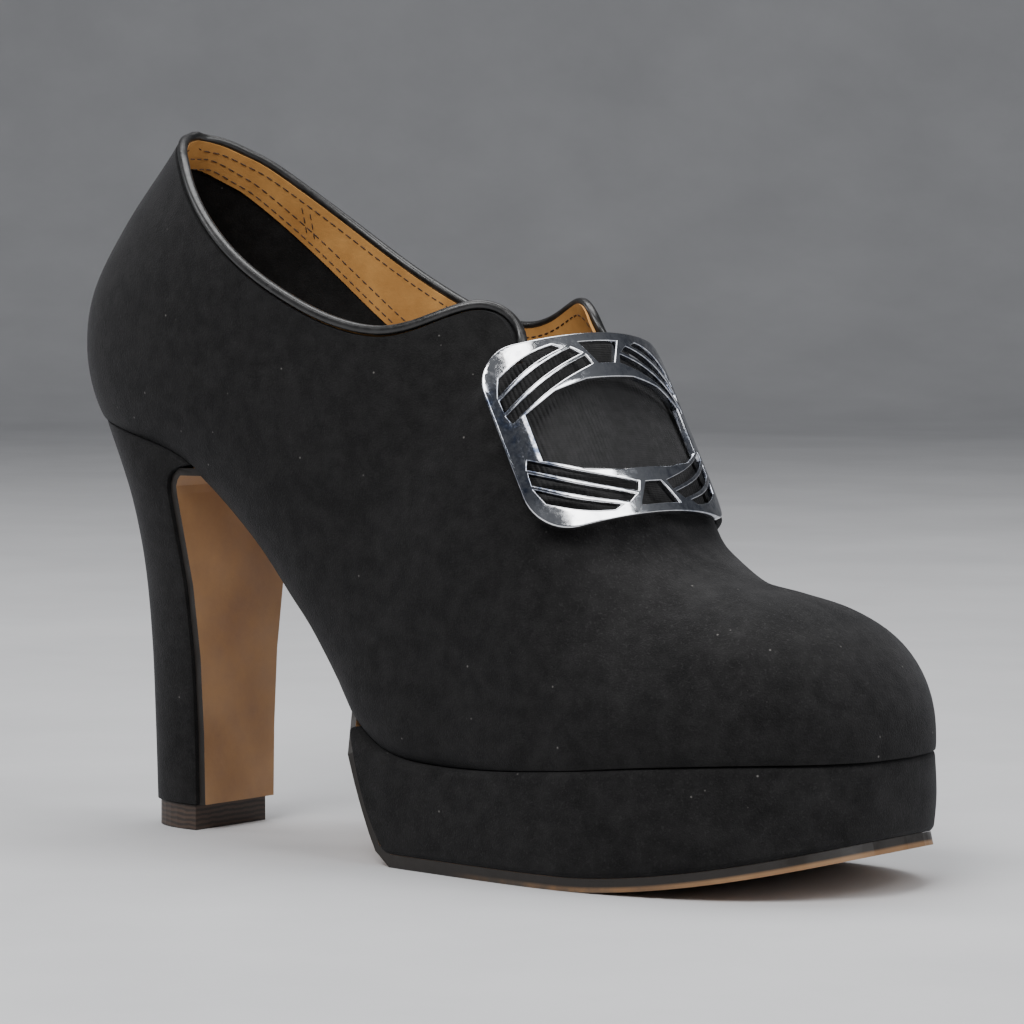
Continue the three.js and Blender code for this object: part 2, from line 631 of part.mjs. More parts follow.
// Underside of the platform: flat on the tread, then rising to the toe
function springHeight(x) {
  const share = Math.max(0, (x - TREAD_END) / (SHOE_LENGTH - TREAD_END));
  return TOE_SPRING * share ** 1.7;
}

// Slanting rear of the platform and the height of a level in it
function platformRear(level) {
  return PLATFORM_REAR_BOTTOM + (PLATFORM_REAR_TOP - PLATFORM_REAR_BOTTOM) * level;
}

function platformHeight(level, x) {
  const low = OUTSOLE_THICKNESS + SEAM_GAP + springHeight(x);
  return low + (featherHeight(x) - SEAM_GAP - low) * level;
}

function makePlatform() {
  const levels = [
    { level: 0, inset: PLATFORM_ROLL }, { level: 0.04, inset: PLATFORM_ROLL * 0.45 },
    { level: 0.12, inset: PLATFORM_ROLL * 0.1 }, { level: 0.45, inset: -PLATFORM_ROLL * 0.15 },
    { level: 0.85, inset: 0 }, { level: 0.95, inset: PLATFORM_ROLL * 0.35 },
    { level: 1, inset: PLATFORM_ROLL },
  ];
  return soleBody(levels, platformRear, platformHeight, SHOE_LENGTH);
}

// The heel's outline at a level: a straight breast in front and a round back
function heelRing(level, inset, heightAt) {
  const back = HEEL_BREAST - HEEL_BASE_LENGTH;
  const backShare = lookUp(HEEL_PROFILE, 'level', level, 'back');
  const rear = SEAT_BACK + (back - SEAT_BACK) * backShare + inset;
  const widthShare = lookUp(HEEL_PROFILE, 'level', level, 'width');
  const half = (HEEL_BASE_WIDTH + (HEEL_TOP_WIDTH - HEEL_BASE_WIDTH) * widthShare) / 2 - inset;
  const front = breastAt(level) - inset;
  const ring = [];
  const turns = 20;
  for (let k = 0; k <= turns; k += 1) {
    const angle = (k / turns) * Math.PI;
    const power = 2 / HEEL_SQUARENESS;
    const x = front - (front - rear) * Math.sin(angle) ** power;
    const y = half * Math.sign(Math.cos(angle)) * Math.abs(Math.cos(angle)) ** power;
    ring.push(new THREE.Vector3(x, y, heightAt(level, x)));
  }
  return ring;
}

// Front of the heel from the side: upright, then flaring forward under the waist
function breastAt(level) {
  const flare = Math.max(0, (level - 0.88) / 0.12);
  return HEEL_BREAST + BREAST_FLARE * flare ** 2.4;
}

function heelHeight(level, x) {
  const low = LIFT_HEIGHT + SEAM_GAP;
  return low + (featherHeight(x) - SEAM_GAP - low) * level;
}

function makeHeel() {
  const levels = [0, 0.2, 0.42, 0.62, 0.78, 0.84, 0.88, 0.91, 0.94, 0.97, 1];
  return loft(levels.map((level) => heelRing(level, 0, heelHeight)));
}

function makeLift() {
  const flat = (level) => level * LIFT_HEIGHT;
  return loft([heelRing(0, LIFT_INSET, () => flat(0)), heelRing(0, LIFT_INSET, () => flat(1))]);
}

// A strip of leather laid under a line seen from the side. Each station gives a place of the line,
// the gap below it, the thickness (negative above the line) and the reach to both sides.
function leatherStrip(line) {
  return loft(line.map((at, i) => {
    const before = line[Math.max(i - 1, 0)];
    const after = line[Math.min(i + 1, line.length - 1)];
    const length = Math.hypot(after.x - before.x, after.z - before.z);
    const outX = (after.z - before.z) / length;
    const outZ = -(after.x - before.x) / length;
    const corner = (y, depth) => new THREE.Vector3(at.x + outX * depth, y, at.z + outZ * depth);
    const deep = at.gap + at.thick;
    return [
      corner(at.lateral, at.gap), corner(at.lateral, deep),
      corner(at.medial, deep), corner(at.medial, at.gap),
    ];
  }));
}

function reachOfHeel(level) {
  const share = lookUp(HEEL_PROFILE, 'level', level, 'width');
  return (HEEL_BASE_WIDTH + (HEEL_TOP_WIDTH - HEEL_BASE_WIDTH) * share) / 2 - SOLE_INSET;
}

// Outsole leather: down the heel's breast, under the waist, down the platform's rear and under it
function makeOutsole() {
  const line = [];
  const add = (x, z, thick, lateral, medial) => line.push({ x, z, gap: SEAM_GAP, thick, lateral, medial });
  [0, 0.2, 0.42, 0.62, 0.78, 0.84, 0.88, 0.91, 0.94, 0.97].forEach((level) => {
    const x = breastAt(level);
    const reach = reachOfHeel(level);
    add(x, heelHeight(level, x), FLAP_THICKNESS, -reach, reach);
  });
  const waistReach = (side, x) => sideReach(side, x, featherHeight(x)) - side * WAIST_INSET;
  const waistStart = HEEL_BREAST + BREAST_FLARE + FLAP_THICKNESS;
  const waistEnd = PLATFORM_REAR_TOP - FLAP_THICKNESS;
  const waistSteps = 24;
  for (let i = 0; i <= waistSteps; i += 1) {
    const x = waistStart + (waistEnd - waistStart) * (i / waistSteps);
    add(x, featherHeight(x), FLAP_THICKNESS, waistReach(-1, x), waistReach(1, x));
  }
  [0.8, 0.6, 0.4, 0.2, 0.07].forEach((level) => {
    const x = platformRear(level) - PLATFORM_ROLL / 3;
    const lateral = planPoint(-1, x, SOLE_INSET)[1];
    const medial = planPoint(1, x, SOLE_INSET)[1];
    add(x, platformHeight(level, x), FLAP_THICKNESS, lateral, medial);
  });
  const start = PLATFORM_REAR_BOTTOM + PLATFORM_ROLL;
  const tip = SHOE_LENGTH - SOLE_INSET - TIP_CUT;
  const outer = planOutline(-1, start - SOLE_INSET, SOLE_INSET);
  const inner = planOutline(1, start - SOLE_INSET, SOLE_INSET);
  const steps = 40;
  for (let i = 0; i <= steps; i += 1) {
    const x = start + (tip - start) * Math.sin((i / steps) * Math.PI / 2);
    add(x, platformHeight(0, x), OUTSOLE_THICKNESS, reachOf(outer, x), reachOf(inner, x));
  }
  return leatherStrip(line);
}

// Insole: the leather that the foot stands on, inside the wall of the upper
function makeInsole() {
  const line = [];
  const inset = UPPER_WALL + INSOLE_INSET;
  const start = SEAT_BACK + inset;
  const end = SHOE_LENGTH - inset * 2.5;
  const steps = 60;
  for (let i = 0; i <= steps; i += 1) {
    const x = start + (end - start) * (1 - Math.cos((i / steps) * Math.PI)) / 2;
    const z = featherHeight(x);
    const reach = (side) => side * Math.max(side * sideReach(side, x, z) - inset, 1);
    line.push({ x, z, gap: -SEAM_GAP / 2, thick: -INSOLE_THICKNESS, lateral: reach(-1), medial: reach(1) });
  }
  return leatherStrip(line);
}

// A place on the buckle's face, drawn flat, brought to its curved face seen from the front
function onCurve(a, b) {
  return new THREE.Vector2(BUCKLE_CURVE * Math.sin(a / BUCKLE_CURVE), b);
}

// Slots of one corner of the buckle, as shares of its half width and half length. Each has a long
// edge towards the window and one towards the rim, from the outer end to the inner one.
const SLOTS = [
  { low: [[0.885, 0.204], [0.139, 0.658]], high: [[0.909, 0.293], [0.170, 0.751]] },
  { low: [[0.912, 0.338], [0.200, 0.782]], high: [[0.915, 0.462], [0.273, 0.849]] },
  { low: [[0.915, 0.511], [0.345, 0.867]], high: [[0.867, 0.684], [0.412, 0.907]] },
];

// Corners of the openings on the buckle's long axis, as shares of half width and half length
const TRAPEZOID = { innerA: 0.076, innerB: 0.662, outerA: 0.188, outerB: 0.902 };
const SLOT_ARCH = 1;

function bucklePath(points) {
  return new THREE.Path(points.map(([a, b]) => onCurve(a, b)));
}

function buckleHoles() {
  const halfA = BUCKLE_WIDTH / 2;
  const halfB = BUCKLE_LENGTH / 2;
  const windowA = BUCKLE_WIDTH / 2 - WINDOW_SIDE;
  const windowB = BUCKLE_LENGTH / 2 - WINDOW_END;
  const holes = [bucklePath([
    [windowA, windowB / 2], [windowA * 0.66, windowB * 0.85], [windowA * 0.3, windowB],
    [-windowA * 0.3, windowB], [-windowA * 0.66, windowB * 0.85], [-windowA, windowB / 2],
    [-windowA, -windowB / 2], [-windowA * 0.66, -windowB * 0.85], [-windowA * 0.3, -windowB],
    [windowA * 0.3, -windowB], [windowA * 0.66, -windowB * 0.85], [windowA, -windowB / 2],
  ])];
  const { innerA, innerB, outerA, outerB } = TRAPEZOID;
  [1, -1].forEach((up) => {
    const corners = [[-innerA, innerB], [innerA, innerB], [outerA, outerB], [-outerA, outerB]];
    holes.push(bucklePath(corners.map(([a, b]) => [a * halfA, up * b * halfB])));
    [1, -1].forEach((side) => SLOTS.forEach((slot) => {
      const outline = [];
      const steps = 4;
      const edge = ([from, to], share) => {
        const a = (from[0] + (to[0] - from[0]) * share) * halfA;
        const b = (from[1] + (to[1] - from[1]) * share) * halfB;
        return [side * a, up * (b + SLOT_ARCH * Math.sin(share * Math.PI))];
      };
      for (let i = 0; i <= steps; i += 1) outline.push(edge(slot.high, i / steps));
      for (let i = steps; i >= 0; i -= 1) outline.push(edge(slot.low, i / steps));
      holes.push(bucklePath(outline));
    }));
  });
  return holes;
}

function makeBuckle() {
  const halfA = BUCKLE_WIDTH / 2;
  const halfB = BUCKLE_LENGTH / 2;
  const outline = [];
  [[1, 1, 0], [-1, 1, 1], [-1, -1, 2], [1, -1, 3]].forEach(([sideA, sideB, quarter]) => {
    for (let i = 0; i <= 6; i += 1) {
      const angle = (quarter + i / 6) * Math.PI / 2;
      const a = sideA * (halfA - BUCKLE_CORNER) + BUCKLE_CORNER * Math.cos(angle);
      const b = sideB * (halfB - BUCKLE_CORNER) + BUCKLE_CORNER * Math.sin(angle);
      outline.push(onCurve(a, b));
    }
  });
  const face = new THREE.Shape(outline);
  face.holes = buckleHoles();
  const deep = BUCKLE_WIDTH;
  const blank = new THREE.ExtrudeGeometry(face, { depth: deep, bevelEnabled: false, curveSegments: 4 });
  blank.translate(0, 0, -deep * 0.75);
  const arc = new THREE.Shape();
  const turn = (BUCKLE_WIDTH / 2 + 1) / BUCKLE_CURVE;
  const steps = 22;
  for (let i = 0; i <= steps; i += 1) {
    const angle = (2 * i / steps - 1) * turn;
    const point = [BUCKLE_CURVE * Math.sin(angle), BUCKLE_CURVE * (Math.cos(angle) - 1)];
    if (i === 0) arc.moveTo(...point);
    else arc.lineTo(...point);
  }
  const inner = BUCKLE_CURVE - BUCKLE_THICKNESS;
  for (let i = steps; i >= 0; i -= 1) {
    const angle = (2 * i / steps - 1) * turn;
    arc.lineTo(inner * Math.sin(angle), inner * Math.cos(angle) - BUCKLE_CURVE);
  }
  const sheet = new THREE.ExtrudeGeometry(arc, { depth: BUCKLE_LENGTH * 1.2, bevelEnabled: false });
  sheet.translate(0, 0, -BUCKLE_LENGTH * 0.6);
  sheet.rotateX(-Math.PI / 2);
  sheet.scale(1, -1, 1);
  sheet.rotateX(Math.PI);
  const plate = inBuckleFrame(mergeVertices(stripped(sheet)));
  return plate.intersect(inBuckleFrame(mergeVertices(stripped(blank))));
}

// Round snap stud on the strap, a low dome turned on its own axis
function makeStud() {
  const radius = STUD_DIAMETER / 2;
  const profile = [
    [0, 0], [radius * 0.8, 0], [radius, STUD_HEIGHT * 0.3], [radius * 0.85, STUD_HEIGHT * 0.75],
    [radius * 0.45, STUD_HEIGHT * 0.97], [0, STUD_HEIGHT],
  ];
  const geometry = new THREE.LatheGeometry(profile.map(([r, h]) => new THREE.Vector2(r, h)), 16);
  const seat = SKIN_GAP + STRAP_THICKNESS + STUD_CLEARANCE;
  const foot = offsetPoint(STUD_ROW, STUD_ANGLE, seat);
  const ahead = offsetPoint(STUD_ROW, STUD_ANGLE, seat + 1).sub(foot).normalize();
  geometry.applyQuaternion(new THREE.Quaternion().setFromUnitVectors(new THREE.Vector3(0, 1, 0), ahead));
  geometry.translate(foot.x, foot.y, foot.z);
  return solidOutward(mergeVertices(stripped(geometry)));
}

const shoe = new THREE.Group();
shoe.position.set(-(SHOE_LENGTH - BACK_BULGE) / 2, 0, 0);

const FINISH = {
  suede: { color: 0x0c0c0e, roughness: 0.95, metalness: 0 },
  ribbed_band: { color: 0x101012, roughness: 0.8, metalness: 0 },
  binding: { color: 0x0a0a0b, roughness: 0.4, metalness: 0 },
  buckle_metal: { color: 0xb8bcc2, roughness: 0.25, metalness: 1 },
  sole_leather: { color: 0xa8773f, roughness: 0.6, metalness: 0 },
  lining_leather: { color: 0xc08a48, roughness: 0.6, metalness: 0 },
  lift_rubber: { color: 0x1a1412, roughness: 0.7, metalness: 0 },
};

function addPiece(name, solid, finish) {
  const mesh = new THREE.Mesh(geometryFrom(solid), new THREE.MeshStandardMaterial(FINISH[finish]));
  mesh.name = name;
  shoe.add(mesh);
}

addPiece('upper', makeUpper(), 'suede');
addPiece('topline_binding', makeBinding(), 'binding');
addPiece('instep_band', makeBand(), 'ribbed_band');
addPiece('instep_strap', makeStrap(), 'suede');
addPiece('strap_stud', makeStud(), 'buckle_metal');
addPiece('buckle', makeBuckle(), 'buckle_metal');
addPiece('insole', makeInsole(), 'lining_leather');
addPiece('platform', makePlatform(), 'suede');
addPiece('outsole', makeOutsole(), 'sole_leather');
addPiece('heel', makeHeel(), 'suede');
addPiece('heel_lift', makeLift(), 'lift_rubber');

export default shoe;
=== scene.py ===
import math

import bmesh
import bpy
import numpy as np
from mathutils import Matrix, Vector


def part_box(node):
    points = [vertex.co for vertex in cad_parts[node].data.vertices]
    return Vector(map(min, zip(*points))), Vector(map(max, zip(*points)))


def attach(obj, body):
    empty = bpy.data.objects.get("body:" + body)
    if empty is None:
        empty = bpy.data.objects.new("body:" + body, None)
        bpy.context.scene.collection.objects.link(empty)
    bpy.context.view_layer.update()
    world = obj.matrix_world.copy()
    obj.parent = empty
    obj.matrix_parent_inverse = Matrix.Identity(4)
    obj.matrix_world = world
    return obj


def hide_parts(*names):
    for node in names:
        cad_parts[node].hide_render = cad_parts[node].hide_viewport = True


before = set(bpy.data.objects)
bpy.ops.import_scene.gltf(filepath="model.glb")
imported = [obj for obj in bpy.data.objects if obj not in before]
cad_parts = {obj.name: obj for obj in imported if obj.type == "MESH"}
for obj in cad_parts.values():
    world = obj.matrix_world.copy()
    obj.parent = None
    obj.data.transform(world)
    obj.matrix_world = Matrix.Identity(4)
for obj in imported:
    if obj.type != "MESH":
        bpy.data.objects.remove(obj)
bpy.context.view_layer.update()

# Camera: stands off the outer side of the toe, a little above the buckle, and looks slightly
# down so that the one shoe fills the picture.
VIEW_TURN = math.radians(37.92)
VIEW_TILT = math.radians(3.6)
camera = bpy.data.objects.new("camera", bpy.data.cameras.new("camera"))
bpy.context.collection.objects.link(camera)
camera.location = (0.6515, -0.8232, 0.145)
camera.rotation_euler = (math.radians(90) - VIEW_TILT, 0, VIEW_TURN)
camera.data.lens = 160
camera.data.sensor_width = 36
bpy.context.scene.camera = camera

# The last: the foot form that the upper is pulled over. It isn't shown, but its sections, from the
# toe to the back, shape every leather piece. Their values are shares: x of the shoe's length, arch
# of the climb to the seat, rise of the quarter's height, lateral and medial of half the ball's width.
MM = 0.001
SHOE_LENGTH = 228 * MM
BALL_WIDTH = 78 * MM
FOREFOOT_HEIGHT = 24.5 * MM
SEAT_HEIGHT = 96 * MM
QUARTER_HEIGHT = 72 * MM
TOE_SWAY = 4 * MM
BACK_TO_CENTRE = 111.9 * MM
COLUMNS = ("botX", "botArch", "botRise", "topX", "topArch", "topRise",
           "lateral", "medial", "widest", "crown", "floor", "sway")
SECTIONS = np.array([
    (1.000, 0.060, 0.00, 1.000, 0.080, 0.000, 0.00, 0.00, 0.50, 2.00, 2.00, 1.00),
    (0.993, 0.070, -0.06, 0.992, 0.080, 0.150, 0.33, 0.30, 0.42, 2.15, 2.60, 1.00),
    (0.973, 0.070, -0.08, 0.969, 0.080, 0.280, 0.575, 0.545, 0.38, 2.30, 3.20, 0.95),
    (0.941, 0.070, -0.08, 0.936, 0.070, 0.385, 0.765, 0.735, 0.34, 2.40, 3.60, 0.85),
    (0.898, 0.065, -0.08, 0.893, 0.065, 0.455, 0.885, 0.875, 0.31, 2.40, 3.80, 0.68),
    (0.848, 0.055, -0.08, 0.846, 0.055, 0.500, 0.96, 0.95, 0.29, 2.35, 4.00, 0.46),
    (0.792, 0.040, -0.08, 0.798, 0.040, 0.553, 1.00, 0.98, 0.27, 2.20, 4.00, 0.24),
    (0.735, 0.020, -0.08, 0.758, 0.020, 0.655, 1.02, 0.97, 0.26, 2.30, 4.00, 0.08),
    (0.675, 0.005, -0.08, 0.728, 0.020, 0.755, 1.01, 0.935, 0.26, 2.50, 4.00, 0),
    (0.612, 0.000, -0.08, 0.704, 0.060, 0.865, 0.985, 0.90, 0.28, 2.90, 4.00, 0),
    (0.545, 0.005, -0.08, 0.679, 0.140, 0.928, 0.955, 0.875, 0.30, 3.10, 4.00, 0),
    (0.480, 0.025, -0.08, 0.653, 0.260, 0.948, 0.92, 0.85, 0.31, 3.10, 3.90, 0),
    (0.425, 0.125, -0.09, 0.630, 0.380, 0.953, 0.88, 0.82, 0.33, 3.00, 3.70, 0),
    (0.382, 0.290, -0.09, 0.617, 0.480, 0.885, 0.845, 0.80, 0.35, 2.70, 3.40, 0),
    (0.325, 0.475, -0.09, 0.611, 0.580, 0.820, 0.82, 0.79, 0.38, 2.60, 3.10, 0),
    (0.258, 0.665, -0.08, 0.607, 0.660, 0.775, 0.81, 0.79, 0.42, 2.50, 2.85, 0),
    (0.182, 0.850, -0.08, 0.605, 0.720, 0.743, 0.80, 0.79, 0.46, 2.40, 2.65, 0),
    (0.105, 0.965, -0.08, 0.605, 0.770, 0.715, 0.795, 0.79, 0.50, 2.35, 2.50, 0),
    (0.036, 1.000, -0.04, 0.606, 0.820, 0.685, 0.79, 0.785, 0.54, 2.30, 2.45, 0),
    (0.000, 1.000, 0.08, 0.608, 0.860, 0.667, 0.79, 0.785, 0.57, 2.25, 2.40, 0),
    (-0.018, 1.000, 0.26, 0.610, 0.900, 0.648, 0.79, 0.785, 0.59, 2.20, 2.30, 0),
    (-0.011, 1.000, 0.46, 0.613, 0.940, 0.629, 0.795, 0.79, 0.61, 2.15, 2.15, 0),
    (0.032, 1.000, 0.69, 0.617, 0.980, 0.610, 0.80, 0.795, 0.62, 2.10, 1.98, 0),
    (0.096, 1.000, 0.94, 0.621, 1.020, 0.592, 0.80, 0.80, 0.63, 2.05, 1.82, 0),
    (0.138, 1.000, 1.12, 0.625, 1.060, 0.579, 0.80, 0.80, 0.63, 2.05, 1.82, 0),
])
ROWS = len(SECTIONS) - 1


def through_rows(table, t):
    """Soft interpolation through the rows of a table, with t counted in rows."""
    t = np.asarray(t, float)
    last = len(table) - 1
    i = np.clip(np.floor(t).astype(int), 0, last - 1)
    f = (t - i)[..., None]
    p1, p2 = table[i], table[i + 1]
    p0 = np.where((i > 0)[..., None], table[np.maximum(i - 1, 0)], 2 * p1 - p2)
    p3 = np.where((i + 2 <= last)[..., None], table[np.minimum(i + 2, last)], 2 * p2 - p1)
    slope1, slope2 = (p2 - p0) / 2, (p3 - p1) / 2
    bend, twist = 3 * (p2 - p1) - 2 * slope1 - slope2, 2 * (p1 - p2) + slope1 + slope2
    return p1 + slope1 * f + bend * f**2 + twist * f**3


def height_of(arch, rise):
    """Height above the floor of a share of the arch and a share of the quarter's height."""
    return FOREFOOT_HEIGHT + (SEAT_HEIGHT - FOREFOOT_HEIGHT) * arch + QUARTER_HEIGHT * rise


def section_at(t):
    """The last's sections at t rows from the toe, as a dict of arrays."""
    s = dict(zip(COLUMNS, np.moveaxis(through_rows(SECTIONS, t), -1, 0)))
    s["bottom"] = np.stack([s["botX"] * SHOE_LENGTH, height_of(s["botArch"], s["botRise"])], -1)
    top = np.stack([s["topX"] * SHOE_LENGTH, height_of(s["topArch"], s["topRise"])], -1)
    s["height"] = np.maximum(np.linalg.norm(top - s["bottom"], axis=-1), 1e-9)
    s["dir"] = (top - s["bottom"]) / s["height"][..., None]
    s["widest"] = s["widest"] * s["height"]
    s["sway"] = s["sway"] * TOE_SWAY
    for side in ("lateral", "medial"):
        s[side] = np.maximum(s[side], 0) * BALL_WIDTH / 2
    return s


def skin_points(t, angle):
    """Points of the last's skin. The angle runs from the ridge round the inner side of the foot."""
    s = section_at(t)
    c, a = np.cos(angle), np.sin(angle)
    power = 2 / np.where(c > 0, s["crown"], s["floor"])
    reach = np.where(c > 0, s["height"] - s["widest"], s["widest"])
    up = s["widest"] + np.sign(c) * reach * np.abs(c) ** power
    out = np.sign(a) * np.where(a > 0, s["medial"], s["lateral"]) * np.abs(a) ** power
    return np.stack([s["bottom"][..., 0] + s["dir"][..., 0] * up, s["sway"] + out,
                     s["bottom"][..., 1] + s["dir"][..., 1] * up], -1)


def offset_points(t, angle, distance):
    """The same points moved out of the skin by a distance, or inwards when it is negative."""
    t, angle = np.broadcast_arrays(np.asarray(t, float), np.asarray(angle, float))
    dt, da = 0.05, 0.03
    along = skin_points(np.minimum(t + dt, ROWS), angle) - skin_points(np.maximum(t - dt, 0.01), angle)
    around = skin_points(t, angle + da) - skin_points(t, angle - da)
    normal = np.cross(around, along)
    normal /= np.linalg.norm(normal, axis=-1, keepdims=True) + 1e-12
    tip = (t < 0.02)[..., None]
    normal = np.where(tip, np.array([1.0, 0, 0]), normal)
    return skin_points(t, angle) + normal * np.asarray(distance)[..., None]


def side_reach(side, x, z):
    """Place across the foot of the skin where it is seen from the side. side is 1 for inner."""
    x, z = np.broadcast_arrays(np.asarray(x, float), np.asarray(z, float))
    low, high = np.full(x.shape, 0.001), np.full(x.shape, float(ROWS))
    for _ in range(40):
        middle = (low + high) / 2
        s = section_at(middle)
        turn = (x - s["bottom"][..., 0]) * s["dir"][..., 1] - (z - s["bottom"][..., 1]) * s["dir"][..., 0]
        high = np.where(turn > 0, middle, high)
        low = np.where(turn > 0, low, middle)
    s = section_at((low + high) / 2)
    up = (x - s["bottom"][..., 0]) * s["dir"][..., 0] + (z - s["bottom"][..., 1]) * s["dir"][..., 1]
    above = up > s["widest"]
    share = np.where(above, (up - s["widest"]) / (s["height"] - s["widest"]), 1 - up / s["widest"])
    power = np.where(above, s["crown"], s["floor"])
    width = s["medial"] if side > 0 else s["lateral"]
    return s["sway"] + side * width * np.maximum(1 - np.minimum(share, 1) ** power, 0) ** (1 / power)


def wall_points(side, x, z, inward):
    """Points inside the wall of one side, a distance in from the skin along its own normal."""
    step = 0.3 * MM
    along = (side_reach(side, x + step, z) - side_reach(side, x - step, z)) / (2 * step)
    rising = (side_reach(side, x, z + step) - side_reach(side, x, z - step)) / (2 * step)
    outward = side * np.stack([-along, np.ones_like(along), -rising], -1)
    outward /= np.linalg.norm(outward, axis=-1, keepdims=True)
    return np.stack([x, side_reach(side, x, z), z], -1) - outward * inward


def link_object(name, mesh):
    """A new object in the scene."""
    made = bpy.data.objects.new(name, mesh)
    bpy.context.collection.objects.link(made)
    return made


def loft(name, rings):
    """A closed mesh through rings of points, in the part's frame. Each end is closed by strips."""
    rings = [np.asarray(r, float) for r in rings]
    count = len(rings[0])
    points = np.concatenate(rings) - np.array([BACK_TO_CENTRE, 0, 0])
    faces = []
    for r in range(len(rings) - 1):
        for k in range(count):
            a, b = r * count + k, r * count + (k + 1) % count
            faces.append((a, b, b + count, a + count))
    for r in (0, len(rings) - 1):
        for k in range(count // 2 - (count + 1) % 2):
            strip = [r * count + j for j in (k, k + 1, count - 2 - k, count - 1 - k)]
            strip = list(dict.fromkeys(strip))
            if len(strip) > 2:
                faces.append(tuple(strip if r else reversed(strip)))
    mesh = bpy.data.meshes.new(name)
    mesh.from_pydata(points.tolist(), [], faces)
    bm = bmesh.new()
    bm.from_mesh(mesh)
    bmesh.ops.remove_doubles(bm, verts=bm.verts, dist=1e-7)
    bmesh.ops.recalc_face_normals(bm, faces=bm.faces)
    bm.to_mesh(mesh)
    bm.free()
    return link_object(name, mesh)


def apply_boolean(piece, cutter, operation="DIFFERENCE"):
    """Cuts, joins or intersects two closed meshes and removes the second."""
    modifier = piece.modifiers.new("cut", "BOOLEAN")
    modifier.operation = operation
    modifier.solver = "MANIFOLD"
    modifier.object = cutter
    settle(piece)
    bpy.data.objects.remove(cutter)


def settle(piece):
    """Applies the modifiers of a piece to its mesh."""
    graph = bpy.context.evaluated_depsgraph_get()
    mesh = bpy.data.meshes.new_from_object(piece.evaluated_get(graph))
    piece.modifiers.clear()
    piece.data = mesh


def smooth(piece, angle=35):
    """Shades smoothly over all but the sharp edges."""
    with bpy.context.temp_override(object=piece, active_object=piece, selected_editable_objects=[piece]):
        bpy.ops.object.shade_smooth_by_angle(angle=math.radians(angle))


def round_edges(piece, width):
    """Puts a narrow bevel on the sharp edges of a piece."""
    edge = piece.modifiers.new("rounded edge", "BEVEL")
    edge.width = width
    edge.segments = 2
    edge.angle_limit = math.radians(50)


def prism(first, second):
    """A closed body between two outlines with as many points each, used to cut."""
    count = len(first)
    faces = [(k, (k + 1) % count, (k + 1) % count + count, k + count) for k in range(count)]
    faces += [tuple(reversed(range(count))), tuple(range(count, 2 * count))]
    mesh = bpy.data.meshes.new("cutter")
    mesh.from_pydata(np.concatenate([first, second]).tolist(), [], faces)
    bm = bmesh.new()
    bm.from_mesh(mesh)
    bmesh.ops.recalc_face_normals(bm, faces=bm.faces)
    bmesh.ops.triangulate(bm, faces=bm.faces)
    bm.to_mesh(mesh)
    bm.free()
    return link_object("cutter", mesh)


def side_plate(outline):
    """A plate with an outline drawn in the side view, right across the shoe, used to cut."""
    outline = np.asarray(outline, float) - np.array([BACK_TO_CENTRE, 0])
    return prism(*(np.insert(outline, 1, reach, axis=1) for reach in (-BALL_WIDTH, BALL_WIDTH)))


# Lower edge of the upper, from the heel's back through the waist to the toe, and the topline,
# from the back down to the ankle and up to the front peak. Both are drawn in the side view.
FEATHER = np.array([
    (-0.03, 1.10), (0.02, 1.05), (0.09, 1.00), (0.16, 0.945), (0.195, 0.895), (0.238, 0.795),
    (0.292, 0.655), (0.335, 0.505), (0.369, 0.400), (0.403, 0.240), (0.424, 0.130), (0.452, 0.062),
    (0.482, 0.022), (0.530, 0.000), (0.610, 0.000), (0.720, 0.025), (0.820, 0.055), (0.930, 0.075),
    (1.03, 0.075),
])
TOPLINE = np.array([
    (-0.080, 1.060), (0.060, 1.035), (0.108, 0.998), (0.126, 0.972), (0.140, 0.940), (0.158, 0.901),
    (0.184, 0.828), (0.219, 0.735), (0.263, 0.629), (0.307, 0.540), (0.351, 0.468), (0.395, 0.410),
    (0.435, 0.376), (0.469, 0.369), (0.500, 0.389), (0.531, 0.428), (0.557, 0.454), (0.577, 0.446),
    (0.592, 0.417), (0.603, 0.374), (0.612, 0.319), (0.618, 0.264), (0.623, 0.208),
    (0.627, 0.150),
])
FEATHER_FINE = through_rows(FEATHER, np.linspace(0, len(FEATHER) - 1, 400))


def feather_height(x):
    return height_of(np.interp(np.asarray(x) / SHOE_LENGTH, FEATHER_FINE[:, 0], FEATHER_FINE[:, 1]), 0)


def run_of(path):
    """The direction of a path at each of its points."""
    run = np.gradient(path, axis=0)
    return run / np.linalg.norm(run, axis=1, keepdims=True)


def lowered(line, down):
    """A line of the side view moved down across its own run, by one distance or one at each point."""
    run = run_of(line)
    return line + np.stack([run[:, 1], -run[:, 0]], 1) * np.reshape(down, (-1, 1))


def topline_points(down, per_row=8):
    """Points of the topline from the side, moved down into the upper by a distance."""
    t = np.linspace(0, len(TOPLINE) - 1, (len(TOPLINE) - 1) * per_row + 1)
    place = through_rows(TOPLINE, t) * np.array([SHOE_LENGTH, 1])
    place[:, 1] = height_of(1, place[:, 1])
    return lowered(place, down)


FAR = 400 * MM


def above_topline(down):
    line = topline_points(down).tolist()
    end_x, end_z = line[-1]
    return side_plate([*line, [end_x + FAR, end_z], [end_x + FAR, 2 * FAR], [-FAR, 2 * FAR]])


def below_feather():
    x = np.linspace(SHOE_LENGTH * 1.02, -0.02 * SHOE_LENGTH, 140)
    line = np.stack([x, feather_height(x)], 1).tolist()
    ahead = SHOE_LENGTH + FAR
    return side_plate([[-FAR, -FAR], [ahead, -FAR], [ahead, line[0][1]], *line, [-FAR, line[-1][1]]])


